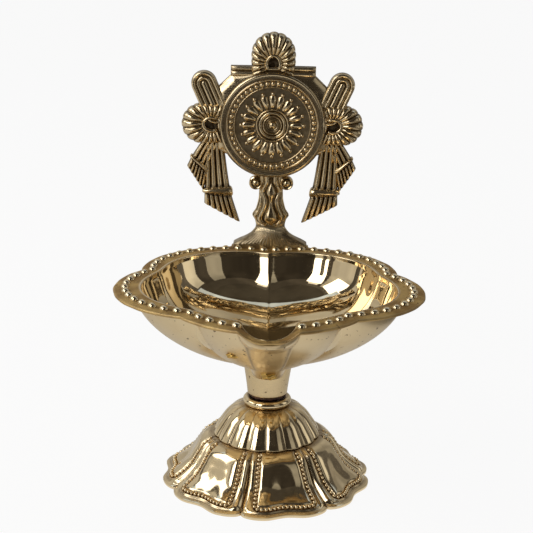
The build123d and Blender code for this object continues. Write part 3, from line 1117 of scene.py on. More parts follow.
@dataclass
class FlutedDome:
    """Domed upper part of the base with convex flutes that round off at its foot."""

    tools: Toolbox
    flutes: int = 16
    rises: Curve = (0.0, 2.4, 5.2, 8.4, 10.8, 12.1)
    radii: Curve = (21.2, 20.0, 18.2, 15.9, 13.1, 9.7)
    depth: float = 0.8
    foot_round: float = 0.9
    wall: float = 2.6
    crown: float = 2.6
    bore: float = 4.3

    def build(self) -> MeshPile:
        """Makes one flute's closed sector, facing the front.

        Returns:
            The sector, open along its two valleys.
        """
        low, high = node_height("fluted_dome", False), node_height("fluted_dome", True)
        half_pitch = math.pi / self.flutes
        side = crowded(-1.0, 1.0, 37, [(-1.0, 0.15, 2.0), (1.0, 0.15, 2.0)])[None, :]
        rise = crowded(0.0, high - low, 46, [(0.0, 0.7, 4.0), (high - low, 1.0, 2.0)])[:, None]
        ridge = ease_through(self.rises, self.radii, rise)
        edge = self.foot_round
        tuck = edge * (1.0 - roll(rise, edge, edge)) * (rise < edge)
        groove = self.depth * ridge / self.radii[0] * side**2
        outer = around(ridge - tuck - groove, side * half_pitch, low + rise)
        inner_rise = np.array([high - low - self.crown, 8.6, 6.0, 3.0, 0.0])[:, None]
        inner = ease_through(self.rises, self.radii, inner_rise) - self.wall
        ring = [(self.bore, high), (self.bore, high - self.crown)]
        rows = [around(r, side * half_pitch, z) for r, z in ring]
        inside = around(inner, side * half_pitch, low + inner_rise)
        loop = np.concatenate([outer, *rows, inside])
        # Painted shade with tarnish: half dark inside, darker in the flute valleys, at the foot against the
        # skirt and at the crown.
        patina_and_shade = np.full(loop.shape[:2], 0.45)
        valley = 0.85 * crest(np.abs(side), 1.0, 0.05)
        foot = 0.8 * crest(rise, 0.0, 0.5)
        crown = 0.6 * ramp(high - low - 1.0, high - low, rise)
        patina_and_shade[: len(outer)] = highest([valley, foot, crown])
        pile = MeshPile()
        pile.add_grid(loop, {"patina_and_shade": patina_and_shade, "satin": 0.22}, round_columns=False, round_rows=True)
        return pile

    def dress(self) -> None:
        """Builds the dome and mounts it on the base, with a valley at the front."""
        shell = self.build().to_object("dome_casting", POLISHED)
        shell.data.transform(Matrix.Rotation(math.pi / self.flutes, 4, "Z"))
        mount(self.tools.array.repeat(shell, self.flutes, POLISHED), Body.BASE, Slot.POLISHED, "fluted_dome")


@dataclass
class Column:
    """Turned pieces on the lamp's axis: collar, washers, nut, stud and stem."""

    sides: int = 128
    bore: float = 4.3
    thread_pitch: float = 1.25
    thread_depth: float = 0.55
    nut_flats: float = 13.0
    thread_slack: float = 0.05
    stem_edge: float = 0.7
    stem_taper: float = 1.9

    def span(self, node: str) -> Spot:
        """Bottom, top and outer radius of a turned node."""
        low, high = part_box(node)
        return low.z / MM, high.z / MM, high.x / MM

    def turned(self, name: str, section: list[Point], finish: Finish, patina_and_shade: list[float] | float) -> Piece:
        """Turns a closed section about the lamp's axis.

        Args:
            name: Name of the piece.
            section: Radius and height at each corner of the section.
            finish: Finish of the piece.
            patina_and_shade: Tarnish and painted shade at each corner, or all over.

        Returns:
            The turned piece.
        """
        loop = np.array(section + section[:1])
        marks = np.broadcast_to(patina_and_shade, len(section))
        pile = MeshPile()
        pile.add_turned(loop, self.sides, {"patina_and_shade": np.append(marks, marks[0])}, Lathe())
        return pile.to_object(name, finish)

    def collar(self) -> None:
        """Round collar ring with a shallow dish on top."""
        low, high, radius = self.span("collar_ring")
        tall = high - low
        bend = np.radians(np.linspace(-80.0, 80.0, 19)).tolist()
        middle, half = low + tall / 2, tall / 2 - 0.1
        outer = [(radius - 1.5 + 1.5 * math.cos(b), middle + half * math.sin(b)) for b in bend]
        dish = [(radius - 1.9, high), (radius - 2.3, high - 0.25), (self.bore, high - 0.3)]
        section = [(self.bore, low), (radius - 1.6, low), *outer, *dish]
        # Painted shade with tarnish under the collar, at its lower curve and in the dish under the stem.
        patina_and_shade = [0.6, 0.7] + [0.5, 0.25] + [0.0] * 15 + [0.1, 0.3] + [0.6, 0.9, 0.9]
        piece = self.turned("collar_roll", section, POLISHED, patina_and_shade)
        mount(piece, Body.BASE, Slot.POLISHED, "collar_ring")

    def stem(self) -> None:
        """Tapered stem with a blind socket for the stud."""
        low, high, radius = self.span("stem")
        _, stud_high, stud_radius = self.span("tie_stud")
        foot = radius - self.stem_taper
        socket = stud_radius + self.thread_slack
        edge = self.stem_edge
        bend = np.radians(np.linspace(-90.0, 0.0, 7))
        corner = [(foot - edge + edge * math.cos(b), low + edge + edge * math.sin(b)) for b in bend.tolist()]
        tall = high - low - edge
        rise = np.linspace(0.08, 1.0, 14).tolist()
        side = [(foot + (radius - foot) * r**1.15, low + edge + tall * r) for r in rise]
        section = [(0.0, stud_high), (socket, stud_high), (socket, low), *corner, *side, (0.0, high)]
        # Painted shade at the stem's foot above the collar, fading up the stem, and at its top under the
        # bowl.
        wear_and_shade = [0.4, 0.4, 0.6], np.linspace(0.6, 0.15, 7), np.full(12, 0.03), [0.2, 0.4, 0.4]
        marks = {"patina_and_shade": np.concatenate(wear_and_shade), "satin": 0.6, "ochre": 0.22}
        pile = MeshPile()
        pile.add_turned(np.array(section), self.sides, marks, Lathe())
        mount(pile.to_object("stem_turning", POLISHED), Body.UPPER, Slot.POLISHED, "stem")

    def stud(self) -> None:
        """Stud with a real helical thread."""
        low, high, radius = self.span("tie_stud")
        rows = np.linspace(low, high, int((high - low) / self.thread_pitch * 10))[:, None]
        angle = turn(40)[None, :]
        phase = (rows / self.thread_pitch - angle / (2.0 * math.pi)) % 1.0
        blunt = np.minimum(ramp(low, low + 0.8, rows), 1.0)
        radial = radius - self.thread_depth * np.abs(2.0 * phase - 1.0) - 0.6 * (1.0 - blunt)
        skin = [around(0.0, angle, low), around(radial, angle, rows), around(0.0, angle, high)]
        pile = MeshPile()
        pile.add_grid(np.concatenate(skin), {})
        mount(pile.to_object("stud_thread", STEEL), Body.UPPER, Slot.STEEL, "tie_stud")

    def nut(self) -> None:
        """Six-sided nut with both faces chamfered."""
        low, high, _ = self.span("tie_nut")
        bore = self.span("tie_stud")[2] + self.thread_slack
        angle = turn(144)[None, :]
        sixth = math.pi / 3.0
        flat = self.nut_flats / 2.0 / np.cos((angle + sixth / 2.0) % sixth - sixth / 2.0)
        cuts = [(0.0, self.nut_flats / 2 - 0.25), (0.25, self.nut_flats / 2 + 0.2), (0.7, self.nut_flats)]
        levels = [(low + up, cut) for up, cut in cuts] + [(high - up, cut) for up, cut in cuts[::-1]]
        rows = [around(bore, angle, low + 0.4), around(bore + 0.5, angle, low)]
        rows += [around(np.minimum(flat, cut), angle, z) for z, cut in levels]
        rows.append(around(bore, angle, high))
        pile = MeshPile()
        pile.add_grid(np.concatenate(rows), {}, round_rows=True)
        mount(pile.to_object("nut_hexagon", STEEL, 20.0), Body.BASE, Slot.STEEL, "tie_nut")

    def washer(self, node: str, name: str, body: Body, slot: Slot, finish: Finish, edge: float) -> None:
        """Flat washer with rounded edges.

        Args:
            node: Solid that the washer stands for.
            name: Name of the piece.
            body: Body that it rides on.
            slot: Slot of its finish.
            finish: Its finish.
            edge: Radius of its outer edges.
        """
        low, high, radius = self.span(node)
        bend = np.radians(np.linspace(-90.0, 90.0, 9)).tolist()
        half = (high - low) / 2.0
        outer = [(radius - edge + edge * math.cos(b), low + half + half * math.sin(b)) for b in bend]
        mount(self.turned(name, [(self.bore, high), (self.bore, low), *outer], finish, 0.0), body, slot, node)

    def dress(self) -> None:
        """Builds the turned pieces and mounts them."""
        self.collar()
        self.washer("tie_washer", "washer_under_crown", Body.BASE, Slot.STEEL, STEEL, 0.25)
        self.nut()
        # The washer on the collar is dark brown and fills the dark band under the stem.
        self.washer("seat_washer", "washer_on_collar", Body.SEAT, Slot.WASHER, DARK_WASHER, 0.5)
        self.stem()
        self.stud()


@dataclass
class Bowl:
    """Five-lobed oil bowl with a beaded flange and a wick spout that runs down to the stem."""

    tools: Toolbox
    lobes: int = 5
    lobe_reach: float = 22.4
    lobe_radius: float = 37.6
    roundness: float = 1.7
    hull_inset: float = 8.0
    mouth_inset: float = 9.9
    hull_floor: float = 47.7
    well_floor: float = 53.5
    well_roundness: float = 2.2
    flange_thickness: float = 1.6
    flange_slope: float = 3.8
    flange_droop: float = 0.4
    mouth_round: float = 0.5
    mouth_even: float = 0.25
    mouth_mean: float = 46.5
    notch_round: float = 6.0
    spout_radius: float = 11.0
    spout_reach: float = 48.4
    spout_wall: float = 1.7
    root_radius: float = 5.4
    root_reach: float = 5.6
    spout_drop: float = 32.0
    lip_dip: float = 3.4
    lip_wall: float = 0.8
    lip_half_width: float = 10.8
    lip_front: Point = (38.0, 52.0)
    lip_low: float = 66.0
    straight_from: float = 78.0
    trough_depth: float = 14.0
    edge_round: float = 0.7
    stem_taper: float = 1.9
    keel_proud: float = 1.9
    keel_half_widths: tuple[float, float] = (3.0, 9.6)
    keel_tip: float = 43.8
    pad_half_width: float = 16.4
    pad_back: float = 60.0
    bead_inset: float = 4.6
    bead_radius: float = 1.7
    bead_stretch: float = 1.12
    bead_pitch: float = 5.4
    bead_sink: float = 0.3
    bead_stop: float = 11.4
    braze_lumps: tuple[tuple[Spot, Spot], ...] = (
        ((0.4, -20.3, 49.6), (2.9, 2.2, 1.7)),
        ((-12.3, -39.3, 63.9), (2.6, 1.2, 1.1)),
    )

    def __post_init__(self) -> None:
        """Reads the heights of the bowl and the stem from the frame."""
        self.flange_top = node_height("bowl", True)
        self.hull_top = self.flange_top - self.flange_thickness
        self.stem_low = node_height("stem", False)
        self.stem_top = node_height("stem", True)
        self.stem_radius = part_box("stem")[1].x / MM
        self.spout_top = self.flange_top - self.lip_dip - self.lip_wall

    def outline(self, angle: Array, inset: float) -> Array:
        """Radius of the five-lobed plan.

        Args:
            angle: Angle from the front.
            inset: How far the plan is drawn in.

        Returns:
            The radius.
        """
        lobe = 2.0 * math.pi / self.lobes
        away = (angle + lobe / 2.0) % lobe - lobe / 2.0
        reach = self.lobe_reach
        return reach * np.cos(away) + np.sqrt((self.lobe_radius - inset) ** 2 - (reach * np.sin(away)) ** 2)

    def mouth(self, angle: Array) -> Array:
        """Radius of the well's mouth: the plan drawn in, with rounded notches except at the back.

        Args:
            angle: Angle from the front.

        Returns:
            The radius.
        """
        lobe = 2.0 * math.pi / self.lobes
        to_notch = lobe / 2.0 - np.abs((angle + lobe / 2.0) % lobe - lobe / 2.0)
        soft = math.radians(self.notch_round) * (1.0 - 0.85 * crest(np.abs(angle), math.pi, 0.4))
        eased = lobe / 2.0 - np.sqrt(to_notch**2 + soft**2)
        plan = self.outline(eased, self.mouth_inset)
        return plan + self.mouth_even * (self.mouth_mean - plan)

    def rim(self, angle: Array) -> Array:
        """Radius of the flange's outer edge, with the pad behind the rear notch.

        Args:
            angle: Angle from the front.

        Returns:
            The radius.
        """
        away = np.abs((angle + 2.0 * math.pi) % (2.0 * math.pi) - math.pi)
        back = self.pad_back / np.maximum(np.cos(away), 0.2)
        side = self.pad_half_width / np.maximum(np.sin(away), 1e-6)
        pad = np.where(away < 0.6, -0.5 * (np.sqrt((back - side) ** 2 + 1.0) - back - side), 0.0)
        ruffle = 0.06 * (2.0 + np.sin(23.0 * angle) + np.sin(37.0 * angle + 1.0))
        return np.maximum(self.outline(angle, 0.0), pad) - ruffle - 0.02

    def cone(self, angle: Array, height: Values, wall: float) -> Array:
        """Radius of the spout's slanting cone.

        Args:
            angle: Angle from the front.
            height: Height.
            wall: How far the cone is drawn in.

        Returns:
            The radius, 0 where the cone isn't.
        """
        rise = np.clip((height - self.spout_top + self.spout_drop) / self.spout_drop, -0.2, 1.0)
        reach = self.root_reach + (self.spout_reach - self.root_reach) * rise
        radius = self.root_radius + (self.spout_radius - self.root_radius) * rise - wall
        across = radius**2 - (reach * np.sin(angle)) ** 2
        inside = (across > 0.0) & (np.cos(angle) > 0.0)
        return np.where(inside, reach * np.cos(angle) + np.sqrt(np.maximum(across, 0.0)), 0.0)

    def keel(self, angle: Array, height: Array, hull: Array) -> Array:
        """Radius of the hull with the keel that runs down its front from the lip to the stem.

        Args:
            angle: Angle from the front.
            height: Height.
            hull: Radius of the bare hull.

        Returns:
            The radius.
        """
        rise = np.clip((height - self.keel_tip) / (self.spout_top - self.keel_tip), 0.0, 1.0)
        low, high = self.keel_half_widths
        half_width = low + (high - low) * rise
        front = np.cos(angle) > 0.0
        across = np.clip(np.abs(hull * np.sin(angle)) / half_width, 0.0, 1.0)
        proud = self.keel_proud * (1.0 - across**2.5) * front
        cone = self.cone(angle, height, 0.0) * (height > self.spout_top - self.spout_drop)
        return np.maximum(hull + proud, cone)

    def root(self, angle: Array, height: Array) -> Array:
        """Radius below the hull: a sleeve inside the stem, and the keel's root that dies out on its front.

        Args:
            angle: Angle from the front.
            height: Height.

        Returns:
            The radius.
        """
        stem = self.stem_radius - self.stem_taper * (self.stem_top - height) / (self.stem_top - self.stem_low)
        rise = np.clip((height - self.keel_tip) / (self.stem_top - self.keel_tip), 0.0, 1.0)
        half_width = 2.6 + 3.2 * rise**0.6
        front = np.cos(angle) > 0.0
        proud = (0.3 + 5.8 * rise**1.6 + 0.6) * roll(stem * np.sin(angle), 0.0, half_width) * front
        return np.maximum(stem - 2.5, stem - 0.6 + proud)

    def dipped(self, points: Array) -> Array:
        """Bends the rim down over the spout.

        Args:
            points: Points, with three numbers on the last axis.

        Returns:
            The bent points.
        """
        across = np.clip(1.0 - np.abs(points[..., 0] / self.lip_half_width) ** 3, 0.0, 1.0) ** 1.4
        front = ramp(*self.lip_front, -points[..., 1])
        high = ramp(self.lip_low, self.flange_top, points[..., 2])
        sunk = points.copy()
        sunk[..., 2] -= self.lip_dip * across * front * high
        return sunk

    def angles(self) -> Array:
        """Angles of the mesh's columns: exact at the notches, dense at the spout and the pad.

        Returns:
            The angles, as one row.
        """
        stops = [-180.0, -160.0, -108.0, -36.0, -16.0, 16.0, 36.0, 108.0, 160.0, 180.0]
        counts = [48, 84, 112, 48, 144, 48, 112, 84, 48]
        runs = [np.linspace(a, b, n, endpoint=False) for a, b, n in zip(stops[:-1], stops[1:], counts)]
        return np.radians(np.concatenate(runs))[None, :]

    def build(self) -> MeshPile:
        """Makes the bowl's closed skin: well, flange, underside, hull and root.

        Returns:
            The skin, with its finishes marked.
        """
        angle = self.angles()
        power = 2.0 / self.well_roundness
        swing = (math.radians(self.straight_from) * np.linspace(0.0, 1.0, 40) ** 0.9)[:, None]
        curve, share = 1.0 - np.cos(swing) ** power, np.sin(swing) ** power
        straight = np.linspace(curve[-1], 1.0, 9)[1:]
        slant = (straight - curve[-1]) / math.tan(swing[-1, 0]) ** (2.0 - power)
        climb, share = np.concatenate([curve, straight]), np.concatenate([share, share[-1] + slant])
        height = self.well_floor + (self.hull_top - self.well_floor) * climb
        well = share / share[-1] * self.mouth(angle)
        trough = self.cone(angle, height, self.spout_wall)
        well = np.maximum(well, trough * (height > self.hull_top - self.trough_depth))
        mouth = well[-1:]
        inner = around(well, angle, height)

        bend = np.radians(np.linspace(170.0, 90.0, 6))[:, None]
        curl = self.mouth_round
        lip = around(mouth + curl + curl * np.cos(bend), angle, self.flange_top - curl + curl * np.sin(bend))
        rim = self.rim(angle)
        share = np.array([0.08, 0.2, 0.32, 0.4, 0.47, 0.53, 0.6, 0.7, 0.82, 0.91])[:, None]
        start = mouth + curl
        flange_radius = start + (rim - start) * share
        inset = rim - flange_radius
        beside = np.abs(flange_radius * np.sin(angle)) - self.pad_half_width
        padded = ramp(2.0, -1.0, beside) * (np.cos(angle) < 0.0)
        droop = self.flange_droop * (1.0 - ramp(0.0, self.flange_slope, inset)) * (1.0 - padded)
        groove = 0.18 * crest(inset, self.bead_inset, 0.9) * (1.0 - padded)
        flange = around(flange_radius, angle, self.flange_top - droop - groove)

        edge_top = flange[-1:, :, 2]
        half = (edge_top - self.hull_top) / 2.0
        bend = np.radians(np.linspace(60.0, -90.0, 8))[:, None]
        curl = self.edge_round
        edge = around(rim - curl + curl * np.cos(bend), angle, self.hull_top + half + half * np.sin(bend))
        hull_mouth = np.maximum(self.outline(angle, self.hull_inset), self.cone(angle, self.hull_top, 0.0))
        share = np.array([0.25, 0.5, 0.75, 0.92])[:, None]
        outside = rim - 0.9
        below = around(outside + (hull_mouth + 0.4 - outside) * share, angle, self.hull_top)

        power = 2.0 / self.roundness
        swing = np.radians(np.concatenate([np.linspace(88.0, 30.0, 30), np.linspace(28.5, 8.0, 12)]))[:, None]
        height = self.hull_floor + (self.hull_top - self.hull_floor) * (1.0 - np.cos(swing) ** power)
        hull = np.sin(swing) ** power * self.outline(angle, self.hull_inset)
        sleeve = self.root(angle, height) * (height < self.stem_top + 0.5)
        keeled = np.maximum(self.keel(angle, height, hull), sleeve)
        outer = around(keeled, angle, height)
        drop = np.linspace(self.hull_floor, self.keel_tip, 12)[:, None]
        cone = self.cone(angle, drop, 0.0) * (drop > 45.0)
        root = around(np.maximum(self.root(angle, drop), cone), angle, drop)
        tip = around(0.0, angle, self.keel_tip)

        parts = [inner, lip, flange, edge, below, outer, root, tip]
        seam = np.abs(keeled - hull)
        seam_line = 0.55 * crest(seam, 0.5, 0.35) * (height > self.stem_top)
        # Painted shade with tarnish: round the beads on the flange, under the flange, on the hull just below
        # it and along the keel's seam.
        tones = {
            "patina_and_shade": [
                0.0,
                0.1,
                0.6 * crest(inset, self.bead_inset, 1.1) + 0.15,
                0.15,
                0.5,
                np.maximum(seam_line, 0.5 * crest(height, self.hull_top, 1.2)),
                0.25,
                0.25,
            ],
            "satin": [0.0, 0.0, 1.0, 1.0, 1.0, 1.0, 1.0, 1.0],
            "ochre": [0.0, 0.1, 1.0, 0.8, 0.8, 0.0, 0.0, 0.0],
        }
        marks = {
            mark: np.concatenate([np.broadcast_to(v, p.shape[:2]) for v, p in zip(values, parts)])
            for mark, values in tones.items()
        }
        pile = MeshPile()
        pile.add_grid(self.dipped(np.concatenate(parts)), marks)
        return pile

    def bead_path(self) -> Array:
        """Path of the rim's beads.

        Returns:
            Its points, from one side of the spout round to the other.
        """
        stop = math.asin(self.bead_stop / (self.lobe_reach + self.lobe_radius - self.bead_inset))
        angle = np.linspace(stop, 2.0 * math.pi - stop, 1441)
        level = self.flange_top - self.bead_sink
        return self.dipped(around(self.outline(angle, self.bead_inset), angle, level))

    def braze(self) -> MeshPile:
        """Lumps of braze at the keel's root and where the hull meets the keel.

        Returns:
            Two closed lumps sunk into the metal.
        """
        pile = MeshPile()
        angle, climb = turn(36)[None, :], np.linspace(0.0, math.pi, 20)[:, None]
        unit = around(np.sin(climb), angle, np.cos(climb))
        waves = 0.10 * np.sin(3.0 * angle + 5.0 * climb) + 0.06 * np.sin(5.0 * angle - 3.0 * climb + 1.0)
        lumpy = unit * (1.0 + waves * np.sin(climb))[..., None]
        for centre, size in self.braze_lumps:
            lump = lumpy * np.array(size) + np.array(centre)
            pile.add_grid(lump, {"patina_and_shade": 0.35 * np.abs(np.cos(2.0 * angle + 3.0 * climb))})
        return pile

    def dress(self) -> None:
        """Builds the bowl, its beads and its braze and mounts them on the upper body."""
        mount(self.build().to_object("bowl_casting", POLISHED, 35.0), Body.UPPER, Slot.POLISHED, "bowl")
        path, pitch, radius = [self.bead_path()], self.bead_pitch, self.bead_radius
        string = self.tools.beads.string
        beads = string("rim_beads", path, False, pitch, radius, 16, POLISHED, self.bead_stretch)
        mount(beads, Body.UPPER, Slot.POLISHED)
        mount(self.braze().to_object("braze_lumps", BRAZE), Body.UPPER, Slot.POLISHED)


@dataclass
class Emblem:
    """Antiqued casting: wheel drum, ribbed shells, ribbon loops and tails, bar, stalk and ribbed foot."""

    drum_radius: float = 22.4
    wheel_radius: float = 21.7
    core_half: float = 2.0
    shell_ribs: int = 15
    shell_spread: float = 128.0
    shell_height: float = 4.3
    mouth_radius: float = 2.9
    mouth_reach: float = 24.8
    top_shell: Point = (9.1, 37.75)
    side_shell: Point = (8.3, 37.5)
    loop_radius: float = 5.3
    loop_root: Point = (23.2, 5.0)
    loop_end: Point = (28.3, 16.5)
    bar_half_length: float = 17.4
    bar_low: float = 19.6
    bar_high: float = 24.0
    web: tuple[Point, ...] = ((6.0, 22.0), (17.4, 20.2), (23.4, 14.5), (23.4, -10.7), (18.6, -12.6))
    knot: Line = ((20.5, -5.0), (27.5, -5.0))
    inner_band: Line = ((17.0, -28.3), (27.8, -28.3))
    inner_hem: Line = ((13.0, -41.4), (27.9, -33.5))
    outer_band: Line = ((26.6, -19.4), (33.2, -13.9))
    outer_hem: Line = ((28.2, -28.1), (35.1, -17.7))
    ribbon_folds: tuple[int, int] = (4, 6)
    band_share: float = 0.62
    web_root: float = 21.6
    ball_place: Point = (6.4, -24.6)
    ball_radius: float = 1.75
    stalk_rises: Curve = (0.0, 1.5, 2.4, 4.4, 6.6, 9.2, 11.4, 13.8, 16.6, 22.0, 26.0)
    stalk_half_widths: Curve = (15.5, 15.5, 14.3, 10.4, 7.6, 6.1, 6.5, 7.7, 6.2, 5.1, 5.0, 5.6)
    stalk_half_depths: Curve = (4.3, 4.3, 4.25, 4.1, 3.8, 3.1, 3.1, 3.3, 3.1, 2.8, 2.7, 2.7)
    drop_rises: Curve = (9.9, 10.6, 12.4, 14.2, 17.0, 19.6, 21.4, 23.6, 27.6)
    drop_half_widths: Curve = (0.05, 1.6, 2.7, 2.4, 1.15, 0.6, 0.9, 1.9, 0.05)
    leaf_rises: Curve = (9.9, 12.4, 15.5, 19.6, 22.8, 27.6)
    leaf_heights: Curve = (0.1, 1.25, 0.8, 0.45, 0.9, 0.1)

    def __post_init__(self) -> None:
        """Reads the wheel's centre and the foot's height from the frame, and starts the casting."""
        self.pile = MeshPile()
        low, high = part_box("front_medallion")
        core_low, core_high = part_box("emblem_core")
        self.centre_y = (core_low.y + core_high.y) / 2.0 / MM
        self.centre_z = (low.z + high.z) / 2.0 / MM
        self.foot_low = core_low.z / MM
        self.centre = (0.0, self.centre_y, self.centre_z)

    def place(self, across: Values, up: Values, depth: Values) -> Array:
        """Points across, above and in front of the wheel's centre."""
        across, up, depth = np.broadcast_arrays(across, up, depth)
        return np.stack([across, self.centre_y - depth, self.centre_z + up], -1)

    def plate(self, across: Values, up: Values, half: Values, patina_and_shade: Values, **borders: bool) -> None:
        """Adds a plate that has the same relief on both faces."""
        front, back = self.place(across, up, half), self.place(across, up, -half)
        self.pile.add_plate(front, back, {"patina_and_shade": patina_and_shade}, **borders)

    def shell(self, size: Point, outward: Point) -> None:
        """Adds a ribbed shell whose ribs fan out from a round mouth at the wheel's edge.

        Args:
            size: Half width and reach from the wheel's centre.
            outward: Direction from the wheel's centre.
        """
        half_width, reach = size
        spread = math.radians(self.shell_spread)
        fan = np.linspace(-spread, spread, self.shell_ribs * 10 + 1)[None, :]
        out = crowded(0.0, 1.0, 26, [(1.0, 0.1, 1.5), (0.0, 0.1, 1.0)])[:, None]
        rib_place = (fan / spread + 1.0) / 2.0 * self.shell_ribs % 1.0 * 2.0 - 1.0
        rib = 1.0 - np.abs(rib_place) ** 2.6
        lift = reach - half_width - self.mouth_reach
        arc = lift * np.cos(fan) + np.sqrt(half_width**2 - (lift * np.sin(fan)) ** 2)
        flank = half_width / np.maximum(np.abs(np.sin(fan)), 0.1)
        outline = np.where(arc * np.cos(fan) > lift, arc, np.minimum(flank, 12.0))
        down = np.minimum(self.mouth_reach * np.cos(fan), 0.0)
        gap = down**2 - self.mouth_reach**2 + (self.wheel_radius + 0.15) ** 2
        wheel = np.where((gap > 0.0) & (down < 0.0), -down - np.sqrt(np.maximum(gap, 0.0)), 99.0)
        outline = np.minimum(outline, np.maximum(wheel, self.mouth_radius + 0.3)) * (1.0 - 0.03 * (1.0 - rib))
        radius = self.mouth_radius + out * (outline - self.mouth_radius)
        crown = ease_through([0.0, 0.12, 0.45, 0.8, 0.96, 1.0], [3.0, 3.4, 4.3, 3.6, 2.2, 1.0], out)
        groove = 0.85 * ramp(0.0, 0.35, out) * (1.0 - rib)
        a, b = radius * np.sin(fan), self.mouth_reach + radius * np.cos(fan)
        right = (outward[1], -outward[0])
        # Painted shade with tarnish in the grooves between the ribs, at the mouth and at the outer edge.
        patina_and_shade = 0.95 * (1.0 - rib) ** 1.5 + 0.35 * crest(out, 0.0, 0.15) + 0.25 * ramp(0.85, 1.0, out)
        across, up = a * right[0] + b * outward[0], a * right[1] + b * outward[1]
        self.plate(across, up, np.minimum(crown - groove, self.shell_height), patina_and_shade)
        mouth = (self.mouth_reach * outward[0], 0.0, self.mouth_reach * outward[1])
        edge = self.mouth_radius + 0.2
        # A plug fills the mouth's hole and is painted fully dark: painted shade of the hollow.
        floor = np.array([(0.0, 1.7), (edge, 1.9), (edge, -1.9), (0.0, -1.7)])
        centre = tuple(c + m for c, m in zip(self.centre, mouth))
        self.pile.add_turned(floor, 32, {"patina_and_shade": 1.0}, Lathe(centre, upright=False))
        arch = np.radians(np.linspace(-118.0, 118.0, 33))
        ring = self.mouth_radius - 0.15
        a = ring * np.sin(arch)
        b = self.mouth_reach + ring * np.cos(arch) * (1.0 + 0.3 * (np.cos(arch) > 0.0))
        across, up = a * right[0] + b * outward[0], a * right[1] + b * outward[1]
        for depth in (3.5, -3.5):
            self.pile.add_tube(self.place(across, up, depth), 0.68, 12, {"patina_and_shade": 0.05})

    def loop(self, side: int) -> None:
        """Adds the folded end of a ribbon, ridged like nested hairpins.

        Args:
            side: 1 on the right, -1 on the left.
        """
        root, end = np.array(self.loop_root), np.array(self.loop_end)
        lean = math.atan2(end[0] - root[0], end[1] - root[1])
        runs, bends = 14, 25
        straight = np.linspace(0.0, 1.0, runs)
        half_turn = np.linspace(-90.0, 90.0, bends)
        spine = np.concatenate([straight, np.ones(bends), straight[::-1], np.zeros(bends)])
        facing = np.concatenate([np.full(runs, -90.0), half_turn, np.full(runs, 90.0), half_turn + 180.0])
        facing = lean + np.radians(facing)
        away = crowded(0.0, self.loop_radius, 24, [(self.loop_radius, 0.4, 1.5)])[:, None]
        base = root + spine[:, None] * (end - root)
        across = base[None, :, 0] + away * np.sin(facing)[None, :]
        up = base[None, :, 1] + away * np.cos(facing)[None, :]
        ridges = [(0.0, 1.15, 0.8), (2.35, 0.85, 1.0), (4.25, 1.0, 1.5)]
        half = 1.6 + sum(gain * roll(away, middle, width) for middle, width, gain in ridges)
        half = half - 1.2 * ramp(self.loop_radius - 0.35, self.loop_radius, away)
        # Painted shade with tarnish in the grooves between the ridges.
        patina_and_shade = 0.9 * (1.0 - highest([roll(away, middle, width) for middle, width, _ in ridges])) ** 1.6
        self.plate(side * across, up, half, patina_and_shade, round_columns=True, first_row_folded=True)

    def tail(self, side: int, band: Line, hem: Line) -> None:
        """Adds a hanging ribbon tail: broad folds down to a rolled band, then a pleated fringe.

        Args:
            side: 1 on the right, -1 on the left.
            band: Ends of the rolled band.
            hem: Ends of the fringe's hem.
        """
        knot, band_line, hem_line = np.array(self.knot), np.array(band), np.array(hem)
        down = crowded(0.0, 1.0, 44, [(self.band_share, 0.05, 3.0), (1.0, 0.03, 1.5)])[:, None]
        share = np.linspace(0.0, 1.0, 97)[None, :]
        folds = np.where(down < self.band_share, *self.ribbon_folds)
        stops = [0.0, self.band_share, 1.0]
        edges = []
        for end in (0, 1):
            stations = np.stack([knot[end], band_line[end], hem_line[end]])
            edges.append([ease_through(stops, stations[:, axis].tolist(), down) for axis in (0, 1)])
        across = edges[0][0] * (1.0 - share) + edges[1][0] * share
        up = edges[0][1] * (1.0 - share) + edges[1][1] * share
        fold = 1.0 - np.abs(share * folds % 1.0 * 2.0 - 1.0) ** 2.2
        banded = roll(down, self.band_share, 0.055)
        flat = 1.0 - np.minimum(2.2 * banded, 1.0)
        middle = np.mean([edges[0], edges[1]], axis=0)
        across = across + (across - middle[0]) * 0.18 * banded
        up = up + (up - middle[1]) * 0.18 * banded
        edge = roll(share, 0.5, 0.505)
        pleats = (0.5 + 1.4 * fold) * np.sqrt(np.maximum(edge, 0.05)) * flat
        half = 0.7 + pleats + 2.4 * banded * np.sqrt(edge) + 0.35 * crest(down, 0.82, 0.15)
        # Painted shade with tarnish between the pleats and along the band's edges.
        patina_and_shade = (1.0 - fold) ** 1.5 * flat + 0.8 * (crest(down, 0.555, 0.015) + crest(down, 0.685, 0.015))
        self.plate(side * across, up, np.minimum(half, 3.4), np.clip(patina_and_shade, 0.0, 1.0))

    def bar(self) -> None:
        """Adds the double-ridged bar behind the top shell."""
        along = crowded(-1.0, 1.0, 60, [(-1.0, 0.03, 6.0), (1.0, 0.03, 6.0)])[None, :] * self.bar_half_length
        up = np.linspace(self.bar_low, self.bar_high, 28)[:, None]
        ridges = [(self.bar_high - 1.0, 1.0, 1.1), (self.bar_low + 1.25, 1.2, 1.35)]
        ridge = highest([gain * roll(up, middle, width) for middle, width, gain in ridges])
        end = np.maximum(roll(np.abs(along), 0.0, self.bar_half_length + 0.05) ** 0.35, 0.3)
        # Painted shade with tarnish between and beside the ridges.
        self.plate(along, up, (1.5 + ridge) * end, 0.9 - 0.85 * ridge / 1.35)

    def drum(self) -> None:
        """Adds the wheel's drum with a groove round its edge, and the webs that tie the ornaments to it."""
        half, radius = self.core_half, self.drum_radius
        face = [(18.0, half - 0.1), (radius - 0.5, half - 0.1), (radius, half - 0.6)]
        section = [*face, (radius, 0.6), (radius - 0.4, 0.25)]
        mirrored = [(r, -d) for r, d in section[::-1]]
        loop = np.array([*section, *mirrored, section[0]])
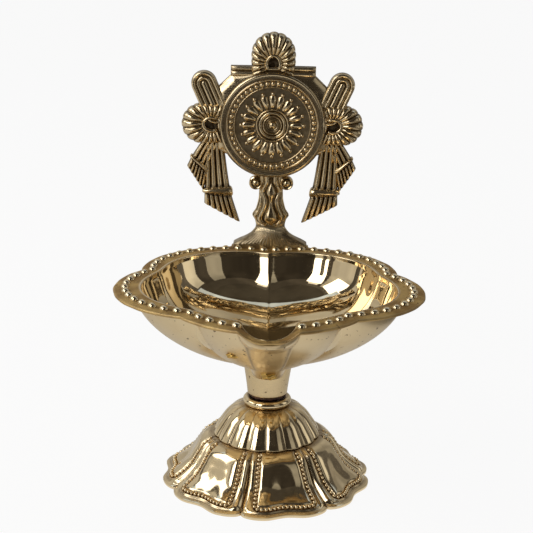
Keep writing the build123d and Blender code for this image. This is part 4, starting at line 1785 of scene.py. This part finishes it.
        # Painted shade with tarnish in the groove round the edge and on the face next to the medallion.
        patina_and_shade = np.array([0.6, 0.3, 0.1, 0.1, 0.9, 0.9, 0.1, 0.1, 0.3, 0.6, 0.6])
        self.pile.add_turned(loop, 160, {"patina_and_shade": patina_and_shade}, Lathe(self.centre, upright=False))
        for side in (1, -1):
            outline = np.array(self.web)
            stops = np.linspace(0.0, len(outline) - 1.0, 65)
            ring = np.stack([np.interp(stops, np.arange(len(outline)), outline[:, axis]) for axis in (0, 1)])
            reach = np.hypot(ring[0], ring[1])
            near = np.array([19.0, 21.4])[:, None] * np.ones_like(stops)
            shares = np.array([0.0, 0.3, 0.6, 0.85, 0.95, 1.0])[:, None]
            shoulder = self.web_root + shares * (reach - self.web_root)
            away = np.concatenate([near, shoulder]) / reach
            thick = np.array([1.9, 2.7, 2.9, 2.75, 2.2, 1.7, 1.4, 0.9])[:, None]
            # Painted shade with tarnish at the web's root and its outer edge.
            patina_and_shade = np.array([0.9, 0.9, 0.5, 0.1, 0.05, 0.05, 0.15, 0.5])[:, None]
            self.plate(side * away * ring[0], away * ring[1], thick, patina_and_shade)

    def stalk(self) -> None:
        """Adds the ribbed foot and the stalk with a leaf drop chased on both faces."""
        low = self.foot_low
        top = self.centre_z - self.wheel_radius + 1.5
        height = crowded(low, top, 84, [(low + 1.2, 0.8, 1.5), (low + 13.0, 4.0, 0.6)])[:, None]
        rise = height - low
        stations = [*self.stalk_rises, top - low]
        half_width = ease_through(stations, self.stalk_half_widths, rise)
        half_depth = ease_through(stations, self.stalk_half_depths, rise)
        faces = [(0.5 * math.pi, 0.4, 0.7), (1.5 * math.pi, 0.4, 0.7)]
        angle = crowded(0.0, 2.0 * math.pi, 241, faces)[None, :-1]
        square = 2.0 + 4.0 * (1.0 - ramp(1.0, 7.0, rise))
        cosine, sine = np.cos(angle), np.sin(angle)
        reach = (np.abs(cosine) ** square + np.abs(sine) ** square) ** (-1.0 / square)
        across, depth = half_width * reach * cosine, half_depth * reach * sine
        drop = ease_through(self.drop_rises, self.drop_half_widths, rise)
        drop = drop * (rise > self.drop_rises[0]) * (rise < self.drop_rises[-1])
        beside = np.abs(across) - drop
        faced = ramp(0.25, 0.7, np.abs(sine)) * ramp(9.4, 10.4, rise)
        swell = ease_through(self.leaf_rises, self.leaf_heights, rise)
        leaf = swell * roll(across / np.maximum(drop, 0.05), 0.0, 1.0) * (drop > 0.1)
        groove = crest(beside, 0.5, 0.4) + 0.8 * crest(beside, 3.0, 0.35)
        band = 0.45 * crest(beside, 1.75, 0.7)
        chased = (leaf - 0.6 * groove + band) * faced
        fan = np.cos(across / half_width * 21.0 * math.pi) * ramp(0.3, 0.6, np.abs(sine))
        ribs = 0.12 * fan * (1.0 - ramp(6.5, 9.0, rise)) * ramp(0.8, 2.0, rise)
        depth = depth + np.sign(sine) * np.abs(sine) ** 0.3 * (chased + ribs)
        # Painted shade with tarnish in the leaf's grooves, between the foot's ribs, at the waist and over the
        # foot.
        patina_and_shade = np.maximum(0.85 * np.clip(groove, 0.0, 1.0) * faced, 0.12)
        patina_and_shade = np.maximum(patina_and_shade, 0.6 * (0.5 - 0.5 * fan) * (1.0 - ramp(7.0, 9.0, rise)))
        patina_and_shade = highest([patina_and_shade, 0.8 * crest(rise, 9.2, 0.6), 0.6 * (1.0 - ramp(6.0, 9.0, rise))])
        rows = self.place(across, height - self.centre_z, depth)
        ends = [self.place(0.0 * angle, z - self.centre_z, 0.0) for z in (low, top)]
        grid = np.concatenate([ends[0], rows, ends[1]])
        self.pile.add_grid(grid, {"patina_and_shade": np.concatenate([patina_and_shade[:1], patina_and_shade, patina_and_shade[-1:]])})

    def ball(self, side: int) -> None:
        """Adds a ball in a ring under the wheel.

        Args:
            side: 1 on the right, -1 on the left.
        """
        bend = np.radians(np.linspace(90.0, 8.0, 10))
        dome = np.stack([self.ball_radius * np.cos(bend), 1.0 + self.ball_radius * np.sin(bend)], -1)
        curl = np.radians([150.0, 90.0, 30.0, 0.0])
        ring = np.stack([2.35 + 0.5 * np.cos(curl), 1.2 + 0.5 * np.sin(curl)], -1)
        half = np.concatenate([dome, [(1.85, 1.05)], ring, [(2.85, 0.0)]])
        loop = np.concatenate([half, half[-2::-1] * np.array([1.0, -1.0])])
        # Painted shade with tarnish in the ring under the ball.
        patina_and_shade = np.concatenate([np.zeros(9), [0.6, 1.0], [0.3, 0.0, 0.0, 0.2, 0.4]])
        centre = (side * self.ball_place[0], self.centre_y, self.centre_z + self.ball_place[1])
        marks = {"patina_and_shade": np.concatenate([patina_and_shade, patina_and_shade[-2::-1]])}
        self.pile.add_turned(loop, 40, marks, Lathe(centre, upright=False))

    def dress(self) -> None:
        """Builds the casting and mounts it on the upper body."""
        self.drum()
        self.bar()
        self.shell(self.top_shell, (0.0, 1.0))
        for side in (1, -1):
            self.shell(self.side_shell, (float(side), 0.0))
            self.loop(side)
            self.tail(side, self.inner_band, self.inner_hem)
            self.tail(side, self.outer_band, self.outer_hem)
            self.ball(side)
        self.stalk()
        mount(self.pile.to_object("emblem_casting", ANTIQUE, 40.0), Body.UPPER, Slot.ANTIQUE, "emblem_core")


@dataclass
class Medallion:
    """Chased disc of the wheel: rims, a ring of beads, rays with bead tips and hub rings."""

    tools: Toolbox
    emblem: Emblem
    radius: float = 21.7
    seat: float = 2.0
    field: float = 3.2
    bore: float = 1.4
    rays: int = 20
    ray_root: float = 7.2
    ray_end: float = 12.2
    ray_tip: float = 12.9
    ray_tip_radius: float = 0.85
    bead_ring: float = 17.1
    bead_radius: float = 1.08
    beads: int = 46
    rings: tuple[tuple[float, float, float, float], ...] = (
        (20.75, 0.75, 3.75, 0.6),
        (18.7, 0.5, 3.6, 0.75),
        (15.7, 0.32, 3.4, 0.6),
        (6.45, 0.45, 3.3, 0.9),
        (5.05, 0.8, 3.1, 1.0),
        (3.7, 0.42, 3.1, 1.0),
        (2.75, 0.3, 3.0, 0.6),
    )

    def section(self) -> tuple[Array, Array]:
        """Turned face from its edge to its bore, with a round ring at each of the rings' radii.

        Returns:
            Radius and depth at each point, and the tarnish along them.
        """
        chased = [(19.5, 1.6, 1.2), (15.7, 0.6, 1.2), (6.4, 1.2, 1.0)]
        radius = crowded(self.bore, self.radius, 190, chased)[::-1]
        base = self.field + 0.35 * ramp(15.6, 15.9, radius) - 0.3 * ramp(2.9, 2.5, radius)
        slope = (3.3 + 1.0 * ramp(21.7, 20.6, radius)) * (radius > 19.95)
        depths = [base, slope]
        for middle, half, low, gain in self.rings:
            depths.append(low + gain * roll(radius, middle, half) - 9.0 * (np.abs(radius - middle) > half))
        depth = highest(depths)
        # Painted shade with tarnish: darker where the face is sunk to the field.
        patina_and_shade = 0.7 * (1.0 - ramp(self.field + 0.2, self.field + 0.8, depth))
        return np.stack([radius, depth], -1), patina_and_shade

    def turned(self, name: str, face: Face) -> Piece:
        """Turns the disc for one face.

        Args:
            name: Name of the disc.
            face: Face of the wheel.

        Returns:
            The disc.
        """
        section, patina_and_shade = self.section()
        back = np.array([(self.bore, self.seat), (self.radius, self.seat)])
        loop = np.concatenate([section, back, section[:1]]) * np.array([1.0, face.value])
        pile = MeshPile()
        marks = np.concatenate([patina_and_shade, [0.5, 0.5], patina_and_shade[:1]])
        pile.add_turned(loop, 180, {"patina_and_shade": marks}, Lathe(self.emblem.centre, upright=False))
        return pile.to_object(name, ANTIQUE, 60.0)

    def ray(self, face: Face) -> MeshPile:
        """One ray that points up from the wheel's centre, with its bead tip.

        Args:
            face: Face of the wheel.

        Returns:
            The ray, about the wheel's centre.
        """
        pile = MeshPile()
        along = np.linspace(0.0, 1.0, 15)[:, None]
        across = np.linspace(-1.0, 1.0, 13)[None, :]
        half_width = (1.05 + 0.85 * along) * np.maximum(roll(along, 0.5, 0.54) ** 0.5, 0.5)
        swell = np.maximum(roll(along, 0.55, 0.60) ** 0.7, 0.3)
        height = self.field - 0.1 + 1.15 * roll(across, 0.0, 1.02) * swell
        up = self.ray_root + along * (self.ray_end - self.ray_root)
        side = face.value
        wide = half_width * across
        front = np.stack(np.broadcast_arrays(wide, -side * height, up), -1)
        back = np.stack(np.broadcast_arrays(wide, -side * (self.field - 0.3), up), -1)
        # Painted shade with tarnish along the ray's sides.
        patina_and_shade = 0.75 * (1.0 - roll(across, 0.0, 1.0)) ** 2
        pile.add_plate(front, back, {"patina_and_shade": patina_and_shade})
        angle, climb = turn(10)[None, :], np.linspace(0.0, math.pi, 7)[:, None]
        radius = self.ray_tip_radius
        tip = [
            radius * np.sin(climb) * np.cos(angle),
            -side * (self.field + 0.15) + radius * np.sin(climb) * np.sin(angle),
            self.ray_tip + radius * np.cos(climb),
        ]
        pile.add_grid(np.stack(np.broadcast_arrays(*tip), -1), {"patina_and_shade": 0.0})
        return pile

    def dress(self) -> None:
        """Builds both faces of the wheel and mounts them on the upper body."""
        for face in Face:
            label = face.name.lower()
            mount(self.turned(f"{label}_disc", face), Body.UPPER, Slot.ANTIQUE, f"{label}_medallion")
            rays = self.ray(face).to_object(f"{label}_rays", ANTIQUE)
            axis, centre = (0.0, 1.0, 0.0), self.emblem.centre
            rays = self.tools.array.repeat(rays, self.rays, ANTIQUE, axis, centre, 60.0)
            mount(rays, Body.UPPER, Slot.ANTIQUE)
            angle = turn(720)
            depth = face.value * (self.field + 0.2)
            ring = self.emblem.place(self.bead_ring * np.sin(angle), self.bead_ring * np.cos(angle), depth)
            pitch, radius = 2.0 * math.pi * self.bead_ring / self.beads, self.bead_radius
            beads = self.tools.beads.string(f"{label}_beads", [ring], True, pitch, radius, 10, ANTIQUE)
            mount(beads, Body.UPPER, Slot.ANTIQUE)


@dataclass
class Fastenings:
    """Hub rivet with a boss on each face, and the two slotted screws under the emblem's foot."""

    emblem: Emblem
    rivet_radius: float = 1.3
    boss_radius: float = 1.65
    boss_ring: float = 2.4
    boss_seat: float = 2.95
    boss_height: float = 1.45
    slot_half_width: float = 0.38
    slot_depth: float = 0.7
    shank_radius: float = 1.5
    head_height: float = 1.6

    def rivet(self) -> None:
        """Rivet through the wheel."""
        bend = np.radians(np.linspace(90.0, 10.0, 10))
        height = self.boss_seat + self.boss_height * np.sin(bend)
        boss = np.stack([self.boss_radius * np.cos(bend), height], -1)
        edge = self.boss_ring
        ring = [(1.75, 3.15), (1.9, 3.35), (2.15, 3.4), (edge, 3.2), (edge, self.boss_seat)]
        half = np.concatenate([boss, ring, [(self.rivet_radius, self.boss_seat)]])
        loop = np.concatenate([half, half[::-1] * np.array([1.0, -1.0])])
        # Painted shade with tarnish in the ring where the boss sits on the medallion.
        patina_and_shade = np.concatenate([np.zeros(9), [0.5], [1.0, 0.4, 0.1, 0.5, 0.7], [0.7]])
        pile = MeshPile()
        marks = {"patina_and_shade": np.concatenate([patina_and_shade, patina_and_shade[::-1]])}
        pile.add_turned(loop, 48, marks, Lathe(self.emblem.centre, upright=False))
        mount(pile.to_object("hub_boss", ANTIQUE), Body.UPPER, Slot.ANTIQUE, "hub_rivet")

    def screws(self) -> None:
        """Two round-headed screws whose slots face down."""
        low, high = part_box("foot_screws")
        bottom, top = low.z / MM, high.z / MM
        head_radius = (high.y - low.y) / 2.0 / MM
        reach = high.x / MM - head_radius
        seat, shank = bottom + self.head_height, self.shank_radius
        pile = MeshPile()
        angle = turn(48)[None, :]
        radius = (np.linspace(0.0, 1.0, 22) ** 0.8 * (head_radius - 0.25))[:, None]
        beside = np.abs(radius * np.cos(angle))
        slotted = self.slot_depth * ramp(self.slot_half_width, self.slot_half_width - 0.1, beside)
        for side in (1, -1):
            crown = bottom + 0.75 * (radius / head_radius) ** 2
            head = around(radius, angle, crown + slotted)
            rest = [(head_radius, seat - 0.45), (head_radius, seat), (shank, seat), (shank, top), (0.0, top)]
            rows = [around(r, angle, z) for r, z in rest]
            spot = np.array([side * reach, self.emblem.centre_y, 0.0])
            pile.add_grid(np.concatenate([head, *rows]) + spot, {"patina_and_shade": 0.2})
        mount(pile.to_object("screw_heads", ANTIQUE, 35.0), Body.UPPER, Slot.ANTIQUE, "foot_screws")

    def dress(self) -> None:
        """Builds the fastenings and mounts them on the upper body."""
        self.rivet()
        self.screws()


@dataclass(frozen=True)
class Card:
    """A curved card of the studio that only mirrors show, between two azimuths and two elevations."""

    name: str
    azimuths: Point
    elevations: Point
    tone: Colour
    distance: float = 1.3


@dataclass(frozen=True)
class Mat:
    """A level mat that only mirrors show: where it lies across and towards the back, in metres."""

    name: str
    across: Point
    back: Point
    tone: Colour
    height: float = 0.001


@dataclass(frozen=True)
class SoftLamp:
    """A rectangular lamp at an azimuth and an elevation in degrees, with a size in metres and a power."""

    name: str
    azimuth: float
    elevation: float
    size: Point
    watts: float
    distance: float = 1.15
    aim: float = 0.07


@dataclass
class Studio:
    """Pale floor, white surroundings, two soft lamps, dark cards for the brass to mirror, and the camera."""

    floor_half: float = 5.0
    floor_tone: Colour = (0.86, 0.85, 0.83)
    floor_glow: float = 0.92
    ambient: float = 0.36
    lens: float = 85.84
    sensor: float = 36.0
    eye: Spot = (-0.00127, -0.46658, 0.21539)
    pitch: Point = (0.96368, -0.26706)
    roll: float = 1.113
    cards: tuple[Card, ...] = (
        Card("ceiling_card", (-180.0, 180.0), (62.0, 90.0), (0.042, 0.038, 0.033)),
        Card("upper_left_card", (-121.0, -29.0), (57.0, 63.0), (0.07, 0.065, 0.06)),
        Card("upper_right_card", (-30.0, 121.0), (47.0, 63.0), (0.05, 0.045, 0.04)),
        Card("back_left_card", (-181.0, -120.5), (-3.0, 62.5), (0.34, 0.33, 0.31)),
        Card("left_wall_card", (-122.0, -61.0), (-3.0, 57.5), (0.36, 0.35, 0.33)),
        Card("post_card", (-62.0, -53.0), (-3.0, 58.0), (0.045, 0.04, 0.036)),
        Card("low_front_card", (-54.0, -27.0), (-3.0, 10.0), (0.36, 0.35, 0.32)),
        Card("front_card", (-28.0, 35.5), (-3.0, 48.0), (0.025, 0.022, 0.019)),
        Card("grey_window", (35.0, 62.0), (6.0, 48.0), (0.23, 0.225, 0.21)),
        Card("low_right_card", (35.0, 62.0), (-3.0, 6.5), (0.05, 0.045, 0.04)),
        Card("right_card", (61.5, 82.5), (-3.0, 48.0), (0.04, 0.036, 0.032)),
        Card("far_window", (82.0, 104.0), (-3.0, 44.0), (0.46, 0.45, 0.42)),
        Card("upper_far_card", (82.0, 121.0), (43.5, 48.0), (0.05, 0.045, 0.04)),
        Card("back_wall_card", (103.5, 121.0), (-3.0, 44.0), (0.08, 0.075, 0.07)),
        Card("back_right_card", (120.5, 181.0), (-3.0, 62.5), (0.24, 0.23, 0.21)),
        Card("figure_card", (-48.0, -41.0), (-3.0, 33.0), (0.07, 0.065, 0.06), 1.0),
        Card("sill_card", (-113.0, -104.0), (-3.0, 47.0), (0.06, 0.055, 0.05), 1.0),
    )
    mats: tuple[Mat, ...] = (
        Mat("front_mat", (-0.6, 0.6), (-1.2, -0.40), (0.04, 0.036, 0.032)),
        Mat("near_mat", (-0.8, 0.105), (-0.405, 0.5), (0.41, 0.40, 0.38)),
        Mat("right_mat", (0.10, 0.8), (-0.405, 0.5), (0.13, 0.118, 0.10)),
        Mat("sky_strip", (-0.85, 0.85), (0.13, 0.4), (0.50, 0.60, 0.76), 0.9),
    )
    lamps: tuple[SoftLamp, ...] = (
        SoftLamp("window_front", -41.0, 32.0, (0.46, 0.8), 3.0),
        SoftLamp("window_left", -92.0, 40.0, (0.62, 0.66), 3.0),
    )

    def floor(self) -> None:
        """Lays the floor, which glows white to the camera and keeps the lamp's shadow."""
        pad = NodePad("studio_floor")
        darker = tuple(tone * 0.97 for tone in self.floor_tone)
        grain = pad.blend(pad.noise(3.0, 2.0), self.floor_tone, darker)
        pad.shade(Base_Color=grain, Roughness=0.9, Specular_IOR_Level=0.0)
        glow = pad.node("ShaderNodeEmission")
        mix = pad.node("ShaderNodeMixShader")
        pad.feed(mix.inputs[0], pad.math("MULTIPLY", pad.backdrop_share(), self.floor_glow))
        pad.feed(mix.inputs[1], pad.shader.outputs["BSDF"])
        pad.feed(mix.inputs[2], glow.outputs["Emission"])
        pad.wire(pad.output, Surface=mix.outputs[0])
        half = self.floor_half
        mesh = bpy.data.meshes.new("studio_floor")
        corners = [(-half, -half, 0.0), (half, -half, 0.0), (half, half, 0.0), (-half, half, 0.0)]
        mesh.from_pydata(corners, [], [(0, 1, 2, 3)])
        mesh.materials.append(pad.material)
        self.stand(bpy.data.objects.new("studio_floor", mesh))

    def stand(self, prop: Piece) -> None:
        """Puts a prop in the scene as part of the studio."""
        bpy.context.scene.collection.objects.link(prop)

    def card(self, card: Card) -> None:
        """Hangs a curved card round the lamp.

        Args:
            card: The card.
        """
        azimuth = np.radians(np.linspace(*card.azimuths, 25))[None, :]
        elevation = np.radians(np.linspace(*card.elevations, 9))[:, None]
        grid = around(np.cos(elevation), azimuth, np.sin(elevation)) * card.distance
        self.flag(card.name, grid, card.tone)

    def mat(self, mat: Mat) -> None:
        """Lays a level mat beside or over the lamp."""
        grid = np.meshgrid(np.linspace(*mat.across, 5), np.linspace(*mat.back, 5))
        self.flag(mat.name, np.stack([*grid, np.full_like(grid[0], mat.height)], -1), mat.tone)

    def flag(self, name: str, grid: Array, tone: Colour) -> None:
        """Adds a flag that is seen only in reflections.

        Args:
            name: Name of the flag.
            grid: Grid of points in metres.
            tone: Its darker tone.
        """
        mesh = bpy.data.meshes.new(name)
        mesh.from_pydata(grid.reshape(-1, 3).tolist(), [], grid_faces(*grid.shape[:2], False, False).tolist())
        pad = NodePad(name)
        brighter = tuple(channel * 1.7 for channel in tone)
        glow = pad.blend(pad.spread(pad.noise(1.6, 2.0), 0.3, 0.7), tone, brighter)
        pad.shade(Base_Color=(0.0, 0.0, 0.0), Roughness=1.0, Specular_IOR_Level=0.0)
        pad.shade(Emission_Color=glow, Emission_Strength=1.0)
        mesh.materials.append(pad.material)
        prop = bpy.data.objects.new(name, mesh)
        prop.visible_camera = prop.visible_diffuse = prop.visible_shadow = prop.visible_transmission = False
        self.stand(prop)

    def world(self) -> None:
        """Makes the surroundings white to the camera and to mirrors, and softer as light."""
        world = bpy.data.worlds.new("studio_world")
        world.use_nodes = True
        sheet = NodeSheet(world.node_tree)
        shown = sheet.backdrop_share()
        level = sheet.node("ShaderNodeMapRange", Value=shown, To_Min=self.ambient, To_Max=1.0)
        background = sheet.tree.nodes["Background"]
        sheet.wire(background, Color=(1.0, 1.0, 1.0), Strength=level.outputs["Result"])
        bpy.context.scene.world = world

    def lamp(self, lamp: SoftLamp) -> None:
        """Hangs a soft lamp that faces the bowl.

        Args:
            lamp: The lamp.
        """
        light = bpy.data.lights.new(lamp.name, "AREA")
        light.shape = "RECTANGLE"
        light.size, light.size_y = lamp.size
        light.energy = lamp.watts
        prop = bpy.data.objects.new(lamp.name, light)
        turn_to, tilt = math.radians(lamp.azimuth), math.radians(lamp.elevation)
        away = around(math.cos(tilt), turn_to, math.sin(tilt)) * lamp.distance
        prop.location = (away[0], away[1], away[2] + lamp.aim)
        prop.rotation_euler = (math.pi / 2.0 - tilt, 0.0, turn_to)
        bpy.context.scene.collection.objects.link(prop)

    def camera(self) -> None:
        """Sets the camera at the photograph's place."""
        data = bpy.data.cameras.new("photo_camera")
        data.lens = self.lens
        data.sensor_width = self.sensor
        ahead = np.array([0.0, *self.pitch])
        over = np.array([0.0, -self.pitch[1], self.pitch[0]])
        lean = math.radians(self.roll)
        right = math.cos(lean) * np.array([1.0, 0.0, 0.0]) + math.sin(lean) * over
        up = -math.sin(lean) * np.array([1.0, 0.0, 0.0]) + math.cos(lean) * over
        columns = np.stack([right, up, -ahead, np.array(self.eye)], -1)
        camera = bpy.data.objects.new("photo_camera", data)
        camera.matrix_world = Matrix([*columns.tolist(), (0.0, 0.0, 0.0, 1.0)])
        bpy.context.scene.collection.objects.link(camera)
        bpy.context.scene.camera = camera

    def dress(self) -> None:
        """Sets up the studio."""
        self.floor()
        self.world()
        for card in self.cards:
            self.card(card)
        for mat in self.mats:
            self.mat(mat)
        for lamp in self.lamps:
            self.lamp(lamp)
        self.camera()
        bpy.context.scene.view_settings.view_transform = "Standard"


def main() -> None:
    """Builds the lamp's sub-assemblies and the studio."""
    logging.basicConfig(level=logging.INFO, format="%(name)s: %(message)s")
    tools = Toolbox(BeadRow(), PolarArray())
    PetalSkirt(tools).dress()
    FlutedDome(tools).dress()
    Column().dress()
    Bowl(tools).dress()
    emblem = Emblem()
    emblem.dress()
    Medallion(tools, emblem).dress()
    Fastenings(emblem).dress()
    Studio().dress()


if __name__ == "__main__":
    main()
